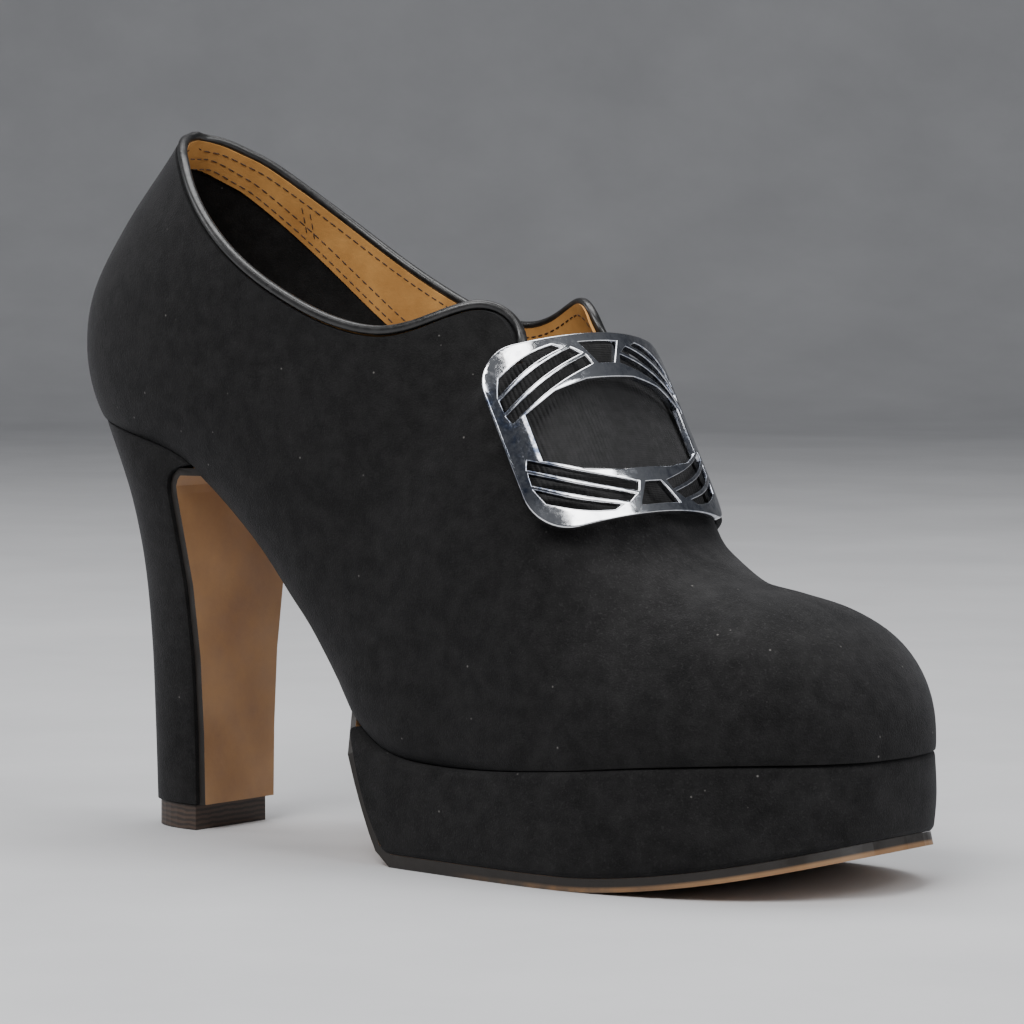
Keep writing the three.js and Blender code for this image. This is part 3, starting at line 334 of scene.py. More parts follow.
# Upper: black suede over a lining, pulled over the last and open at the foot's collar. It is one
# skin of even thickness, cut at the topline, at the throat behind the buckle and along the sole.
UPPER_WALL = 2 * MM
BINDING_HEIGHT = 2.2 * MM
BINDING_WIDTH = 2.4 * MM
SKIN_GAP = 0.5 * MM
SEAM_GAP = 0.3 * MM


def last_body(distance, stations=150, around=144, creases=None):
    """The last as one closed body, moved out of its skin by a distance."""
    rows = (np.arange(1, stations + 1) / stations) ** 0.93 * ROWS
    angles = np.arange(around) / around * 2 * math.pi
    t, angle = np.meshgrid(rows, angles, indexing="ij")
    lift = np.full(t.shape, distance) if creases is None else distance + creases(t, angle)
    rings = list(offset_points(t, angle, lift))
    tip = offset_points(0.0, 0.0, distance)
    return loft("last", [np.repeat(tip[None], around, 0), *rings])


# Soft troughs and ridges of worn suede: row from the toe, angle round the foot, how far each
# reaches in rows and in angle, and its height in millimetres
CREASES = np.array([
    (7.7, -1.20, 0.35, 0.50, -0.55), (8.3, -1.35, 0.30, 0.45, 0.35), (7.6, 1.15, 0.35, 0.50, -0.50),
    (8.6, 1.30, 0.35, 0.45, 0.30), (6.9, -0.55, 0.35, 0.60, -0.30), (9.8, -1.75, 0.60, 0.30, -0.50),
    (13.0, -1.85, 1.20, 0.35, -0.60), (13.5, 1.80, 1.20, 0.35, -0.60), (17.5, -1.90, 1.20, 0.30, 0.30),
    (5.4, -1.00, 0.50, 0.30, -0.25), (4.2, 0.75, 0.60, 0.35, -0.25), (20.0, -2.30, 1.20, 0.25, -0.30),
])


def crease_height(t, angle):
    height = np.zeros(t.shape)
    turned = (angle + math.pi) % (2 * math.pi) - math.pi
    for row, place, long, wide, depth in CREASES:
        height += depth * MM * np.exp(-((t - row) / long) ** 2 - ((turned - place) / wide) ** 2)
    return height


buckle_low, buckle_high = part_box("buckle")
BUCKLE_SLOPE = math.radians(61)
BUCKLE_TURN = math.radians(7)
up = Vector((-math.cos(BUCKLE_SLOPE), 0, math.sin(BUCKLE_SLOPE)))
out = Vector((math.sin(BUCKLE_SLOPE), 0, math.cos(BUCKLE_SLOPE)))
buckle_frame = Matrix((up.cross(out), up, out)).transposed().to_4x4()
buckle_frame = Matrix.Rotation(-BUCKLE_TURN, 4, "Z") @ buckle_frame
BUCKLE_WIDTH = 66 * MM
BUCKLE_LENGTH = 45 * MM
BUCKLE_CURVE = 50 * MM
BUCKLE_THICKNESS = 1.8 * MM
# the plate's middle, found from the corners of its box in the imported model
half_turn = BUCKLE_WIDTH / 2 / BUCKLE_CURVE
arc = []
for turns, heights in ((np.linspace(-1, 1, 41), (-0.28, 0.28)), (np.linspace(-0.7, 0.7, 31), (-0.5, 0.5))):
    for depth in (0, BUCKLE_THICKNESS):
        radius = BUCKLE_CURVE - depth
        arc += [(radius * math.sin(a), b * BUCKLE_LENGTH, radius * math.cos(a) - BUCKLE_CURVE)
                for a in turns * half_turn for b in heights]
arc = np.array([buckle_frame @ Vector(p) for p in arc])
buckle_frame.translation = (buckle_low + buckle_high) / 2 - Vector((arc.min(0) + arc.max(0)) / 2)


def buckle_box(left, right, bottom, top, low, high):
    """A box drawn in the buckle's frame, used to cut."""
    mesh = bpy.data.meshes.new("cutter")
    corners = [(x, y, z) for x in (left, right) for y in (bottom, top) for z in (low, high)]
    sides = [(0, 1, 3, 2), (4, 6, 7, 5), (0, 4, 5, 1), (2, 3, 7, 6), (0, 2, 6, 4), (1, 5, 7, 3)]
    mesh.from_pydata(corners, [], sides)
    mesh.transform(buckle_frame)
    return link_object("cutter", mesh)


THROAT_WIDTH = 23 * MM
THROAT_DEPTH = 25 * MM


def throat_slot():
    """A slot with a round lower end, cut down the instep behind the buckle."""
    half = THROAT_WIDTH / 2
    centre = BUCKLE_LENGTH / 2 - THROAT_DEPTH + half
    turns = np.linspace(math.pi, 2 * math.pi, 25)
    outline = [(half, FAR), (-half, FAR)] + [(half * math.cos(a), centre + half * math.sin(a)) for a in turns]
    low, high = -1.4 * THROAT_WIDTH, 0.6 * THROAT_WIDTH
    slot = prism([(a, b, low) for a, b in outline], [(a, b, high) for a, b in outline])
    slot.data.transform(buckle_frame)
    return slot


upper = last_body(0, creases=crease_height)
upper.name = "upper_suede"
apply_boolean(upper, last_body(-UPPER_WALL))
apply_boolean(upper, below_feather())
apply_boolean(upper, above_topline(BINDING_HEIGHT + SKIN_GAP))
apply_boolean(upper, throat_slot())
smooth(upper)


def node_group(name, inputs, outputs):
    """An empty shader group with named sockets, and its two end nodes."""
    group = bpy.data.node_groups.new(name, "ShaderNodeTree")
    for label, kind, value in inputs:
        socket = group.interface.new_socket(label, in_out="INPUT", socket_type=kind)
        socket.default_value = value
    for label, kind in outputs:
        group.interface.new_socket(label, in_out="OUTPUT", socket_type=kind)
    return group, group.nodes.new("NodeGroupInput"), group.nodes.new("NodeGroupOutput")


def add_node(tree, kind, links=None, **values):
    """A shader node with its settings, its plain input values and its linked inputs."""
    node = tree.nodes.new(kind)
    for key, value in values.items():
        setattr(node, key, value)
    for key, value in (links or {}).items():
        if isinstance(value, bpy.types.NodeSocket):
            tree.links.new(value, node.inputs[key])
        else:
            node.inputs[key].default_value = value
    return node


def noise(tree, place, scale, detail=3.0, rough=0.5):
    """Value of a noise whose lumps are about 1 / scale metres wide."""
    return add_node(tree, "ShaderNodeTexNoise", {"Vector": place, "Scale": scale, "Detail": detail,
                                                 "Roughness": rough}).outputs["Fac"]


def spread(tree, value, low, high, to_low=0.0, to_high=1.0):
    """Maps a value from one range to another, and clamps it."""
    return add_node(tree, "ShaderNodeMapRange", {"Value": value, "From Min": low, "From Max": high,
                                                 "To Min": to_low, "To Max": to_high}).outputs[0]


def mix_colour(tree, share, first, second):
    mix = add_node(tree, "ShaderNodeMix", {0: share, 6: first, 7: second}, data_type="RGBA")
    return mix.outputs[2]


def mottle(tree, place, scale, first, second, low=0.3, high=0.7, detail=3.0, rough=0.5):
    """Two tones of a surface that pass into each other in soft spots."""
    share = spread(tree, noise(tree, place, scale, detail, rough), low, high)
    return mix_colour(tree, share, (*first, 1), (*second, 1))


def times(tree, first, second, operation="MULTIPLY"):
    return add_node(tree, "ShaderNodeMath", {0: first, 1: second}, operation=operation).outputs[0]


def material(name, roughness=0.5, metallic=0.0, **constants):
    """A material with its shader and the object's own coordinates."""
    made = bpy.data.materials.new(name)
    made.use_nodes = True
    tree = made.node_tree
    shader = tree.nodes["Principled BSDF"]
    shader.inputs["Roughness"].default_value = roughness
    shader.inputs["Metallic"].default_value = metallic
    for key, value in constants.items():
        shader.inputs[key.replace("_", " ")].default_value = value
    place = tree.nodes.new("ShaderNodeTexCoord").outputs["Object"]
    return made, tree, shader, place


def bump(tree, shader, height, distance, strength=1.0):
    node = add_node(tree, "ShaderNodeBump", {"Height": height, "Distance": distance, "Strength": strength})
    tree.links.new(node.outputs["Normal"], shader.inputs["Normal"])


def paint(piece, made):
    piece.data.materials.clear()
    piece.data.materials.append(made)


# Nap of black suede: fine fibres that lie this way and that, brushed paler in patches, with lint
nap, ends, puts = node_group("suede_nap", [
    ("Place", "NodeSocketVector", (0, 0, 0)), ("Dark", "NodeSocketColor", (0.004, 0.004, 0.004, 1)),
    ("Pale", "NodeSocketColor", (0.020, 0.020, 0.021, 1)), ("Nap_wear_and_highlight", "NodeSocketFloat", 0.4),
], [("Color", "NodeSocketColor"), ("Height", "NodeSocketFloat")])
place = ends.outputs["Place"]
patches = spread(nap, noise(nap, place, 55, 4, 0.55), 0.40, 0.68)
brushed = spread(nap, noise(nap, place, 240, 5, 0.62), 0.38, 0.68)
fibre = spread(nap, noise(nap, place, 2600, 2, 0.6), 0.30, 0.70)
# The wear input makes the patches and flecks paler; on the upper it also carries a painted highlight on the
# top of the toe.
worn_and_lit = times(nap, times(nap, patches, ends.outputs["Nap_wear_and_highlight"]), 0.6)
share = times(nap, worn_and_lit, times(nap, times(nap, brushed, 0.28), times(nap, fibre, 0.22), "ADD"), "ADD")
flecks = spread(nap, noise(nap, place, 1300, 3, 0.7), 0.56, 0.68)
share = times(nap, share, times(nap, times(nap, flecks, ends.outputs["Nap_wear_and_highlight"]), 0.9), "ADD")
colour = mix_colour(nap, share, ends.outputs["Dark"], ends.outputs["Pale"])
specks = add_node(nap, "ShaderNodeTexVoronoi", {"Vector": place, "Scale": 210, "Randomness": 1.0})
dust = spread(nap, specks.outputs["Distance"], 0.035, 0.065, 1.0, 0.0)
rare = spread(nap, noise(nap, place, 130, 1), 0.52, 0.57)
colour = mix_colour(nap, times(nap, times(nap, dust, rare), 0.55), colour, (0.20, 0.19, 0.18, 1))
nap.links.new(colour, puts.inputs["Color"])
nap.links.new(times(nap, times(nap, brushed, 0.35), times(nap, fibre, 0.65), "ADD"), puts.inputs["Height"])


def suede(name, wear_and_highlight, dark=0.0035, pale=0.026, seam=None):
    made, tree, shader, place = material(name, roughness=0.92, Sheen_Weight=0.10, Sheen_Roughness=0.40,
                                         Sheen_Tint=(0.75, 0.75, 0.80, 1), Specular_IOR_Level=0.15)
    use = add_node(tree, "ShaderNodeGroup", node_tree=nap)
    tree.links.new(place, use.inputs["Place"])
    use.inputs["Dark"].default_value = (dark, dark * 0.97, dark * 0.98, 1)
    use.inputs["Pale"].default_value = (pale, pale * 0.97, pale * 0.97, 1)
    # A number for even wear, or a mask; the upper's mask is partly wear and partly a painted highlight.
    if isinstance(wear_and_highlight, float):
        use.inputs["Nap_wear_and_highlight"].default_value = wear_and_highlight
    else:
        tree.links.new(wear_and_highlight(tree, place), use.inputs["Nap_wear_and_highlight"])
    tree.links.new(use.outputs["Color"], shader.inputs["Base Color"])
    height = use.outputs["Height"]
    if seam is not None:
        height = times(tree, height, seam(tree, place), "ADD")
    bump(tree, shader, height, 0.12 * MM, 0.9)
    return made


def vamp_wear_and_highlight(tree, place):
    """Paler on the top of the toe and forefoot, and a little on the quarters: partly wear, partly a painted
    highlight where the light falls on the top.
    """
    toe = add_node(tree, "ShaderNodeVectorMath", {0: place, 1: (0.070, 0.004, 0.062)}, operation="DISTANCE")
    return spread(tree, toe.outputs["Value"], 0.012, 0.055, 1.0, 0.12)


def back_seam(tree, place):
    """The groove of the closed seam that joins both quarters at the back."""
    axes = add_node(tree, "ShaderNodeSeparateXYZ", {0: place})
    groove = spread(tree, times(tree, axes.outputs["Y"], 0, "ABSOLUTE"), 0.15 * MM, 0.55 * MM, -4.0, 0.0)
    return times(tree, groove, spread(tree, axes.outputs["X"], -0.092, -0.088, 1.0, 0.0))


paint(upper, suede("upper_suede", vamp_wear_and_highlight, seam=back_seam))
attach(upper, "root")
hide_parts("upper")


# Topline binding: a narrow strip of glossy black leather rolled over the cut edge of the upper,
# from one front corner of the collar round the back to the other, and stitched down.
def collar_back(down):
    """Where the topline crosses the back of the last, seen from the side."""
    line = topline_points(down)
    low, high = ROWS - 4.0, float(ROWS)
    for _ in range(30):
        middle = (low + high) / 2
        x, z = section_at(middle)["bottom"]
        if z < np.interp(x, line[:, 0], line[:, 1]):
            low = middle
        else:
            high = middle
    return section_at(low)["bottom"]


def rounded(points, rounds=3):
    """A path with its corners cut again and again, so that it runs smoothly."""
    points = np.asarray(points, float)
    for _ in range(rounds):
        first = points[:-1] * 0.75 + points[1:] * 0.25
        second = points[:-1] * 0.25 + points[1:] * 0.75
        points = np.concatenate([points[:1], np.stack([first, second], 1).reshape(-1, 3), points[-1:]])
    return points


def lengths_of(path):
    """The length of a path up to each of its points."""
    return np.concatenate([[0], np.cumsum(np.linalg.norm(np.diff(path, axis=0), axis=1))])


def read_path(path, places, at):
    """Points of a path at new places, when its own points have the given places."""
    return np.stack([np.interp(at, places, column) for column in path.T], 1)


def even_path(points, step):
    """The same path with its points a step apart."""
    lengths = lengths_of(points)
    at = np.linspace(0, lengths[-1], max(int(lengths[-1] / step), 2))
    return read_path(points, lengths, at)


def collar_path(down, inward, stop=0.0):
    """The line along the collar, a distance below its edge and inside the skin, outer side first."""
    line = topline_points(down, per_row=2)
    back_x, back_z = collar_back(down)
    start = line[:, 0] > back_x + BINDING_WIDTH
    inverse = buckle_frame.inverted()
    height = np.array([(inverse @ Vector((x - BACK_TO_CENTRE, 0, z))).y for x, z in line])
    keep = line[start & (height > stop)]
    near_back = [np.array([back_x, back_z]) * (1 - s) + keep[0] * s for s in (0.15, 0.5)]
    half = np.array([*near_back, *keep])
    sides = []
    for side in (-1, 1):
        sides.append(wall_points(side, half[:, 0], half[:, 1], inward))
    middle = np.array([[back_x + inward, 0, back_z]])
    return np.concatenate([sides[0][::-1], middle, sides[1]])


def tube(name, path, width, height, around=12, squareness=1.0):
    """A closed strip of oval section along a path. The width lies across the wall."""
    run = run_of(path)
    rise = np.array([0, 0, 1.0]) - run * run[:, 2:3]
    rise /= np.linalg.norm(rise, axis=1, keepdims=True)
    across = np.cross(run, rise)
    turns = np.arange(around) / around * 2 * math.pi
    c = np.sign(np.cos(turns)) * np.abs(np.cos(turns)) ** squareness
    s = np.sign(np.sin(turns)) * np.abs(np.sin(turns)) ** squareness
    rings = [p + np.outer(c, a) * width / 2 + np.outer(s, r) * height / 2
             for p, a, r in zip(path, across, rise)]
    return loft(name, rings)


BAND_LENGTH = 39 * MM
BINDING_END = BAND_LENGTH / 2 + BINDING_WIDTH
binding_path = even_path(rounded(collar_path(BINDING_HEIGHT / 2, UPPER_WALL / 2, BINDING_END)), 1.2 * MM)
binding = tube("topline_binding_leather", binding_path, BINDING_WIDTH, BINDING_HEIGHT, 16, 0.8)
smooth(binding, 60)
glossy, tree, shader, place = material("binding_leather", roughness=0.33, Coat_Weight=0.2, Coat_Roughness=0.3)
grain = noise(tree, place, 900, 3, 0.6)
tone = mottle(tree, place, 260, (0.006, 0.006, 0.006), (0.018, 0.017, 0.017), low=0.4)
tree.links.new(tone, shader.inputs["Base Color"])
tree.links.new(spread(tree, grain, 0.3, 0.7, 0.26, 0.46), shader.inputs["Roughness"])
bump(tree, shader, grain, 0.08 * MM, 0.6)
paint(binding, glossy)
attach(binding, "root")
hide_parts("topline_binding")


# Collar lining: a facing of thin tan leather glued inside the topline and stitched along both
# edges. It is narrow at the heel and deep at the front, and below it the inside is dark cloth.
LINING_THICKNESS = 0.45 * MM
FACING_PLACES = (0.09, 0.20, 0.34, 0.46, 0.60)
FACING_DEPTHS = np.array([9, 12.5, 17, 24, 40]) * MM
FACING_FRONT = 0.605 * SHOE_LENGTH
FACING_STITCH_END = 0.56 * SHOE_LENGTH
LINING_JOIN = 41.5 * MM
STITCH_LENGTH = 1.7 * MM
STITCH_GAP = 0.7 * MM
THREAD_RADIUS = 0.17 * MM


def facing_line(extra=0.0):
    """Lower edge of the facing from the side, a depth below the topline that grows to the front."""
    line = topline_points(0)
    fine = read_path(line, np.linspace(0, 1, len(line)), np.linspace(0, 1, 90))
    return lowered(fine, np.interp(fine[:, 0] / SHOE_LENGTH, FACING_PLACES, FACING_DEPTHS) + extra)


facing = last_body(-UPPER_WALL - 0.02 * MM, 120, 120)
facing.name = "collar_lining"
apply_boolean(facing, last_body(-UPPER_WALL - LINING_THICKNESS, 120, 120))
apply_boolean(facing, above_topline(BINDING_HEIGHT * 0.8))
lower = [p for p in facing_line().tolist() if p[0] < FACING_FRONT]
below = [[FAR, lower[-1][1]], [FAR, -FAR], [-FAR, -FAR], [-FAR, lower[0][1]]]
apply_boolean(facing, side_plate(lower + below))
apply_boolean(facing, throat_slot())
smooth(facing)
tan, tree, shader, place = material("lining_leather", roughness=0.55, Specular_IOR_Level=0.35)
tone = mottle(tree, place, 70, (0.42, 0.20, 0.055), (0.60, 0.31, 0.095), 0.35, 0.70, 4, 0.6)
stain = times(tree, spread(tree, noise(tree, place, 26, 3), 0.52, 0.72), 0.30)
tone = mix_colour(tree, stain, tone, (0.24, 0.12, 0.045, 1))
tree.links.new(tone, shader.inputs["Base Color"])
bump(tree, shader, noise(tree, place, 1100, 4, 0.6), 0.10 * MM, 0.6)
paint(facing, tan)
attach(facing, "root")


def stitch_row(name, path, length=STITCH_LENGTH, radius=THREAD_RADIUS):
    """A row of short thread stitches along a path, as one mesh of slim capsules."""
    lengths = lengths_of(path)
    starts = np.arange(STITCH_GAP, lengths[-1] - length, length + STITCH_GAP)
    shares = np.array([-0.5, -0.42, -0.2, 0.2, 0.42, 0.5])
    sizes = np.array([0.2, 0.75, 1.0, 1.0, 0.75, 0.2])
    turns = np.arange(6) / 6 * 2 * math.pi
    points, faces = [], []
    for start in starts:
        line = read_path(path, lengths, start + length * (shares + 0.5))
        run = line[-1] - line[0]
        run /= np.linalg.norm(run)
        side = np.cross(run, [0.3, 0.2, 1.0])
        side /= np.linalg.norm(side)
        other = np.cross(run, side)
        base = len(points)
        for p, size in zip(line, sizes):
            points += [p + (side * math.cos(a) + other * math.sin(a)) * radius * size for a in turns]
        for r in range(5):
            for k in range(6):
                a, b = base + r * 6 + k, base + r * 6 + (k + 1) % 6
                faces.append((a, b, b + 6, a + 6))
        faces += [tuple(base + k for k in reversed(range(6))), tuple(base + 30 + k for k in range(6))]
    mesh = bpy.data.meshes.new(name)
    mesh.from_pydata((np.array(points) - np.array([BACK_TO_CENTRE, 0, 0])).tolist(), [], faces)
    row = link_object(name, mesh)
    smooth(row, 60)
    return row


def thread(name, dark, pale):
    made, tree, shader, place = material(name, roughness=0.7)
    tree.links.new(mottle(tree, place, 900, dark, pale), shader.inputs["Base Color"])
    bump(tree, shader, noise(tree, place, 2500), 0.05 * MM, 0.6)
    return made


inside = UPPER_WALL + LINING_THICKNESS


def facing_path(extra):
    """A line along the facing's lower edge, from the front on the outer side round the heel."""
    line = facing_line(extra)
    line = line[line[:, 0] < FACING_STITCH_END]
    line = line[side_reach(1, line[:, 0], line[:, 1]) > 4 * MM]
    outer, inner = (wall_points(side, line[:, 0], line[:, 1], inside) for side in (-1, 1))
    return np.concatenate([outer[::-1], inner])


def join_path(shift):
    """A line up the inner side, where the two halves of the facing are joined."""
    x = LINING_JOIN + shift
    edge, rim = facing_line(-1.4 * MM), topline_points(4.5 * MM)
    low, high = (np.interp(x, line[:, 0], line[:, 1]) for line in (edge, rim))
    z = np.linspace(high, low, 12)
    return wall_points(1, np.full(12, x), z, inside)


dark_thread = thread("dark_thread", (0.030, 0.014, 0.008), (0.070, 0.035, 0.018))
stitch_paths = {
    "rim": rounded(collar_path(3.6 * MM, inside, BINDING_END)),
    "lower": facing_path(-1.4 * MM), "upper": facing_path(-4.0 * MM),
    "join_back": join_path(-0.9 * MM), "join_front": join_path(0.9 * MM),
}
for name, path in stitch_paths.items():
    row = stitch_row(f"lining_stitches_{name}", even_path(path, 0.5 * MM))
    paint(row, dark_thread)
    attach(row, "root")


# Instep band: black ribbed silk ribbon stretched over the instep under the buckle, with a narrower
# tongue up into the throat. Its ribs run along the foot and show through the buckle's openings.
BAND_WIDTH = 49 * MM
BAND_THICKNESS = 0.9 * MM
BAND_DEPTH = 13 * MM
TONGUE_WIDTH = 33.2 * MM
TONGUE_TOP = 23.4 * MM
RIB_PITCH = 1.15 * MM
RIB_HEIGHT = 0.32 * MM
PATCH_ROWS = (6.5, 15.0)
PATCH_ANGLE = 2.0


def skin_patch(name, low, high, steps, turns, ribs=None):
    """A closed patch of the skin between two distances above the last, rows first."""
    angles = np.linspace(-PATCH_ANGLE, PATCH_ANGLE, turns)
    rings = []
    for t in np.linspace(*PATCH_ROWS, steps):
        top = offset_points(np.full(turns, t), angles, np.full(turns, high))
        if ribs is not None:
            top = offset_points(np.full(turns, t), angles, high + ribs(top))
        bottom = offset_points(np.full(turns, t), angles[::-1], np.full(turns, low))
        rings.append(np.concatenate([top, bottom]))
    return loft(name, rings)


to_buckle = np.array(buckle_frame.inverted())


def across_buckle(points):
    """Distance across the foot in the buckle's frame, measured round its curve."""
    local = (points - np.array([BACK_TO_CENTRE, 0, 0])) @ to_buckle[:3, :3].T + to_buckle[:3, 3]
    return BUCKLE_CURVE * np.arctan2(local[:, 0], local[:, 2] + BUCKLE_CURVE)


def rib_height(points):
    wave = np.abs(np.cos(across_buckle(points) / RIB_PITCH * math.pi))
    return RIB_HEIGHT * (wave ** 0.6 - 1)


band = skin_patch("instep_band_ribbed", SKIN_GAP, SKIN_GAP + BAND_THICKNESS, 50, 760, rib_height)
band_half = BAND_WIDTH / 2
sheet = buckle_box(-band_half, band_half, -BAND_LENGTH / 2, BAND_LENGTH / 2, -BAND_DEPTH, FAR / 8)
tongue = buckle_box(-TONGUE_WIDTH / 2, TONGUE_WIDTH / 2, 0, TONGUE_TOP, -BAND_DEPTH, FAR / 8)
apply_boolean(sheet, tongue, "UNION")
apply_boolean(band, sheet, "INTERSECT")
smooth(band, 60)
ribbed, tree, shader, place = material("ribbed_silk", roughness=0.66, Sheen_Weight=0.05,
                                       Specular_IOR_Level=0.3)
tone = mottle(tree, place, 500, (0.005, 0.005, 0.005), (0.016, 0.015, 0.016), 0.35, 0.7, 4, 0.6)
tree.links.new(tone, shader.inputs["Base Color"])
weft = add_node(tree, "ShaderNodeTexWave", {"Vector": place, "Scale": 800, "Distortion": 1.5, "Detail": 2.0,
                                            "Detail Scale": 2.0}, bands_direction="Z")
bump(tree, shader, weft.outputs["Fac"], 0.05 * MM, 0.7)
paint(band, ribbed)
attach(band, "root")
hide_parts("instep_band")


# Instep strap: a suede tab on the inner side that runs under the buckle's edge. It is edged with
# one row of fine stitches and held at its end by a round metal stud.
STRAP_WIDTH = 38 * MM
STRAP_REACH = 31 * MM
STRAP_THICKNESS = 1.4 * MM
strap = skin_patch("instep_strap_suede", SKIN_GAP, SKIN_GAP + STRAP_THICKNESS, 110, 200)
strap_from = band_half + SEAM_GAP
strap_box = buckle_box(strap_from, BALL_WIDTH, -STRAP_WIDTH / 2, STRAP_WIDTH / 2, -STRAP_REACH, FAR / 8)
apply_boolean(strap, strap_box, "INTERSECT")
round_edges(strap, 0.35 * MM)
settle(strap)
smooth(strap, 50)
paint(strap, suede("strap_suede", 0.35))
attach(strap, "root")
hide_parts("instep_strap")

strap_points = np.array([v.co[:] for v in strap.data.vertices])
in_buckle = (strap_points - np.array(buckle_frame.translation)) @ np.array(buckle_frame.to_3x3())


def strap_place(b, c):
    """A place on the strap's face, by its height up the foot and its depth in the buckle's frame."""
    near = np.abs(in_buckle[:, 1] - b) + np.abs(in_buckle[:, 2] - c) - in_buckle[:, 0] * 0.15
    return strap_points[np.argmin(near)] + np.array([BACK_TO_CENTRE, 0, 0])


rim = STRAP_WIDTH / 2 - 1.6 * MM
deep = -STRAP_REACH + 1.8 * MM
row_path = [strap_place(rim, c) for c in np.linspace(-8 * MM, deep, 9)]
row_path += [strap_place(b, deep) for b in np.linspace(14, -14, 11) * MM]
row_path += [strap_place(-rim, c) for c in np.linspace(deep, -8 * MM, 9)]
row = stitch_row("strap_stitches", even_path(rounded(row_path, 2), 0.5 * MM), 1.5 * MM, 0.18 * MM)
paint(row, thread("grey_thread", (0.05, 0.05, 0.05), (0.14, 0.14, 0.14)))
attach(row, "root")


# Strap stud: a domed metal snap with a rolled rim, pressed through the strap's end.
STUD_DIAMETER = 4.2 * MM
STUD_HEIGHT = 1.6 * MM
PROFILE = [(0.0, 0.0), (0.86, 0.0), (0.98, 0.10), (1.0, 0.28), (0.95, 0.45), (0.86, 0.50), (0.80, 0.52),
           (0.72, 0.70), (0.55, 0.88), (0.30, 0.98), (0.0, 1.0)]
STUD_ROW, STUD_ANGLE = 10.4, 1.12
foot = offset_points(STUD_ROW, STUD_ANGLE, SKIN_GAP + STRAP_THICKNESS + 0.25 * MM)
ahead = offset_points(STUD_ROW, STUD_ANGLE, 10 * MM) - foot
turn = np.array(Vector(ahead).to_track_quat("Z", "Y").to_matrix())
turns = np.arange(40) / 40 * 2 * math.pi
rings = []
for radius, height in PROFILE:
    r = max(radius, 0.002) * STUD_DIAMETER / 2
    ring = np.stack([r * np.cos(turns), r * np.sin(turns), np.full(40, height * STUD_HEIGHT)], 1)
    rings.append(ring @ turn.T + foot)
stud = loft("strap_stud_dome", rings)
smooth(stud, 50)


# Buckle: one stamped and plated plate, curved over the instep. It has a six-sided window, a small
# four-sided opening above and below it, and three slots with bars between them in each corner.
BUCKLE_CORNER = 10 * MM
WINDOW_SIDE = 7.25 * MM
WINDOW_END = 11.25 * MM
SLOT_ARCH = 1 * MM
BUCKLE_BEVEL = 0.36 * MM
DOME_RISE = 0.9 * MM
BEND_STEP = 1.3
SLOTS = (
    {"low": ((0.885, 0.204), (0.139, 0.658)), "high": ((0.909, 0.293), (0.170, 0.751))},
    {"low": ((0.912, 0.338), (0.200, 0.782)), "high": ((0.915, 0.462), (0.273, 0.849))},
    {"low": ((0.915, 0.511), (0.345, 0.867)), "high": ((0.867, 0.684), (0.412, 0.907))},
)
HEXAGON = ((1, 0.5), (0.66, 0.85), (0.3, 1), (-0.3, 1), (-0.66, 0.85), (-1, 0.5))
TRAPEZOID = ((-0.076, 0.662), (0.076, 0.662), (0.188, 0.902), (-0.188, 0.902))
half_size = np.array([BUCKLE_WIDTH, BUCKLE_LENGTH]) / 2
outlines = []
corner = []
for quarter, (side_a, side_b) in enumerate(((1, 1), (-1, 1), (-1, -1), (1, -1))):
    middle = (half_size - BUCKLE_CORNER) * np.array([side_a, side_b])
    for turn_share in np.linspace(0, 1, 13):
        angle = (quarter + turn_share) * math.pi / 2
        corner.append(middle + BUCKLE_CORNER * np.array([math.cos(angle), math.sin(angle)]))
outlines.append(corner)
window = [np.array(p) * (half_size - np.array([WINDOW_SIDE, WINDOW_END])) for p in HEXAGON]
outlines.append(window + [-p for p in window])
for side_b in (1, -1):
    outlines.append([np.array(p) * half_size * np.array([1, side_b]) for p in TRAPEZOID])
    for side_a in (1, -1):
        for slot in SLOTS:
            shares = np.linspace(0, 1, 9)
            edges = []
            for key in ("high", "low"):
                first, last = (np.array(place) * half_size for place in slot[key])
                long_edge = first + (last - first) * shares[:, None]
                long_edge[:, 1] += SLOT_ARCH * np.sin(shares * math.pi)
                edges.append(long_edge)
            loop = np.concatenate([edges[0], edges[1][::-1]]) * np.array([side_a, side_b])
            outlines.append(list(loop))
face = bpy.data.curves.new("buckle", "CURVE")
face.dimensions = "2D"
face.fill_mode = "BOTH"
face.extrude = BUCKLE_THICKNESS / 2 - BUCKLE_BEVEL
face.bevel_depth = BUCKLE_BEVEL
face.bevel_resolution = 3
face.offset = -BUCKLE_BEVEL
for outline in outlines:
    spline = face.splines.new("POLY")
    spline.points.add(len(outline) - 1)
    for point, (a, b) in zip(spline.points, outline):
        point.co = (a, b, 0, 1)
    spline.use_cyclic_u = True
flat = link_object("flat", face)
mesh = bpy.data.meshes.new_from_object(flat.evaluated_get(bpy.context.evaluated_depsgraph_get()))
bpy.data.objects.remove(flat)
bm = bmesh.new()
bm.from_mesh(mesh)
bmesh.ops.remove_doubles(bm, verts=bm.verts, dist=1e-6)
for a in np.arange(-32.5, 33, BEND_STEP) * MM:
    geometry = [*bm.verts, *bm.edges, *bm.faces]
    bmesh.ops.bisect_plane(bm, geom=geometry, plane_co=(a, 0, 0), plane_no=(1, 0, 0), dist=1e-7)
for vertex in bm.verts:
    a, b, c = vertex.co
    radius = BUCKLE_CURVE - BUCKLE_THICKNESS / 2 + c
    turn = a / BUCKLE_CURVE
    vertex.co = buckle_frame @ Vector((radius * math.sin(turn), b, radius * math.cos(turn) - BUCKLE_CURVE))
bmesh.ops.recalc_face_normals(bm, faces=bm.faces)
bm.to_mesh(mesh)
bm.free()
buckle = link_object("buckle_plate", mesh)
smooth(buckle, 40)

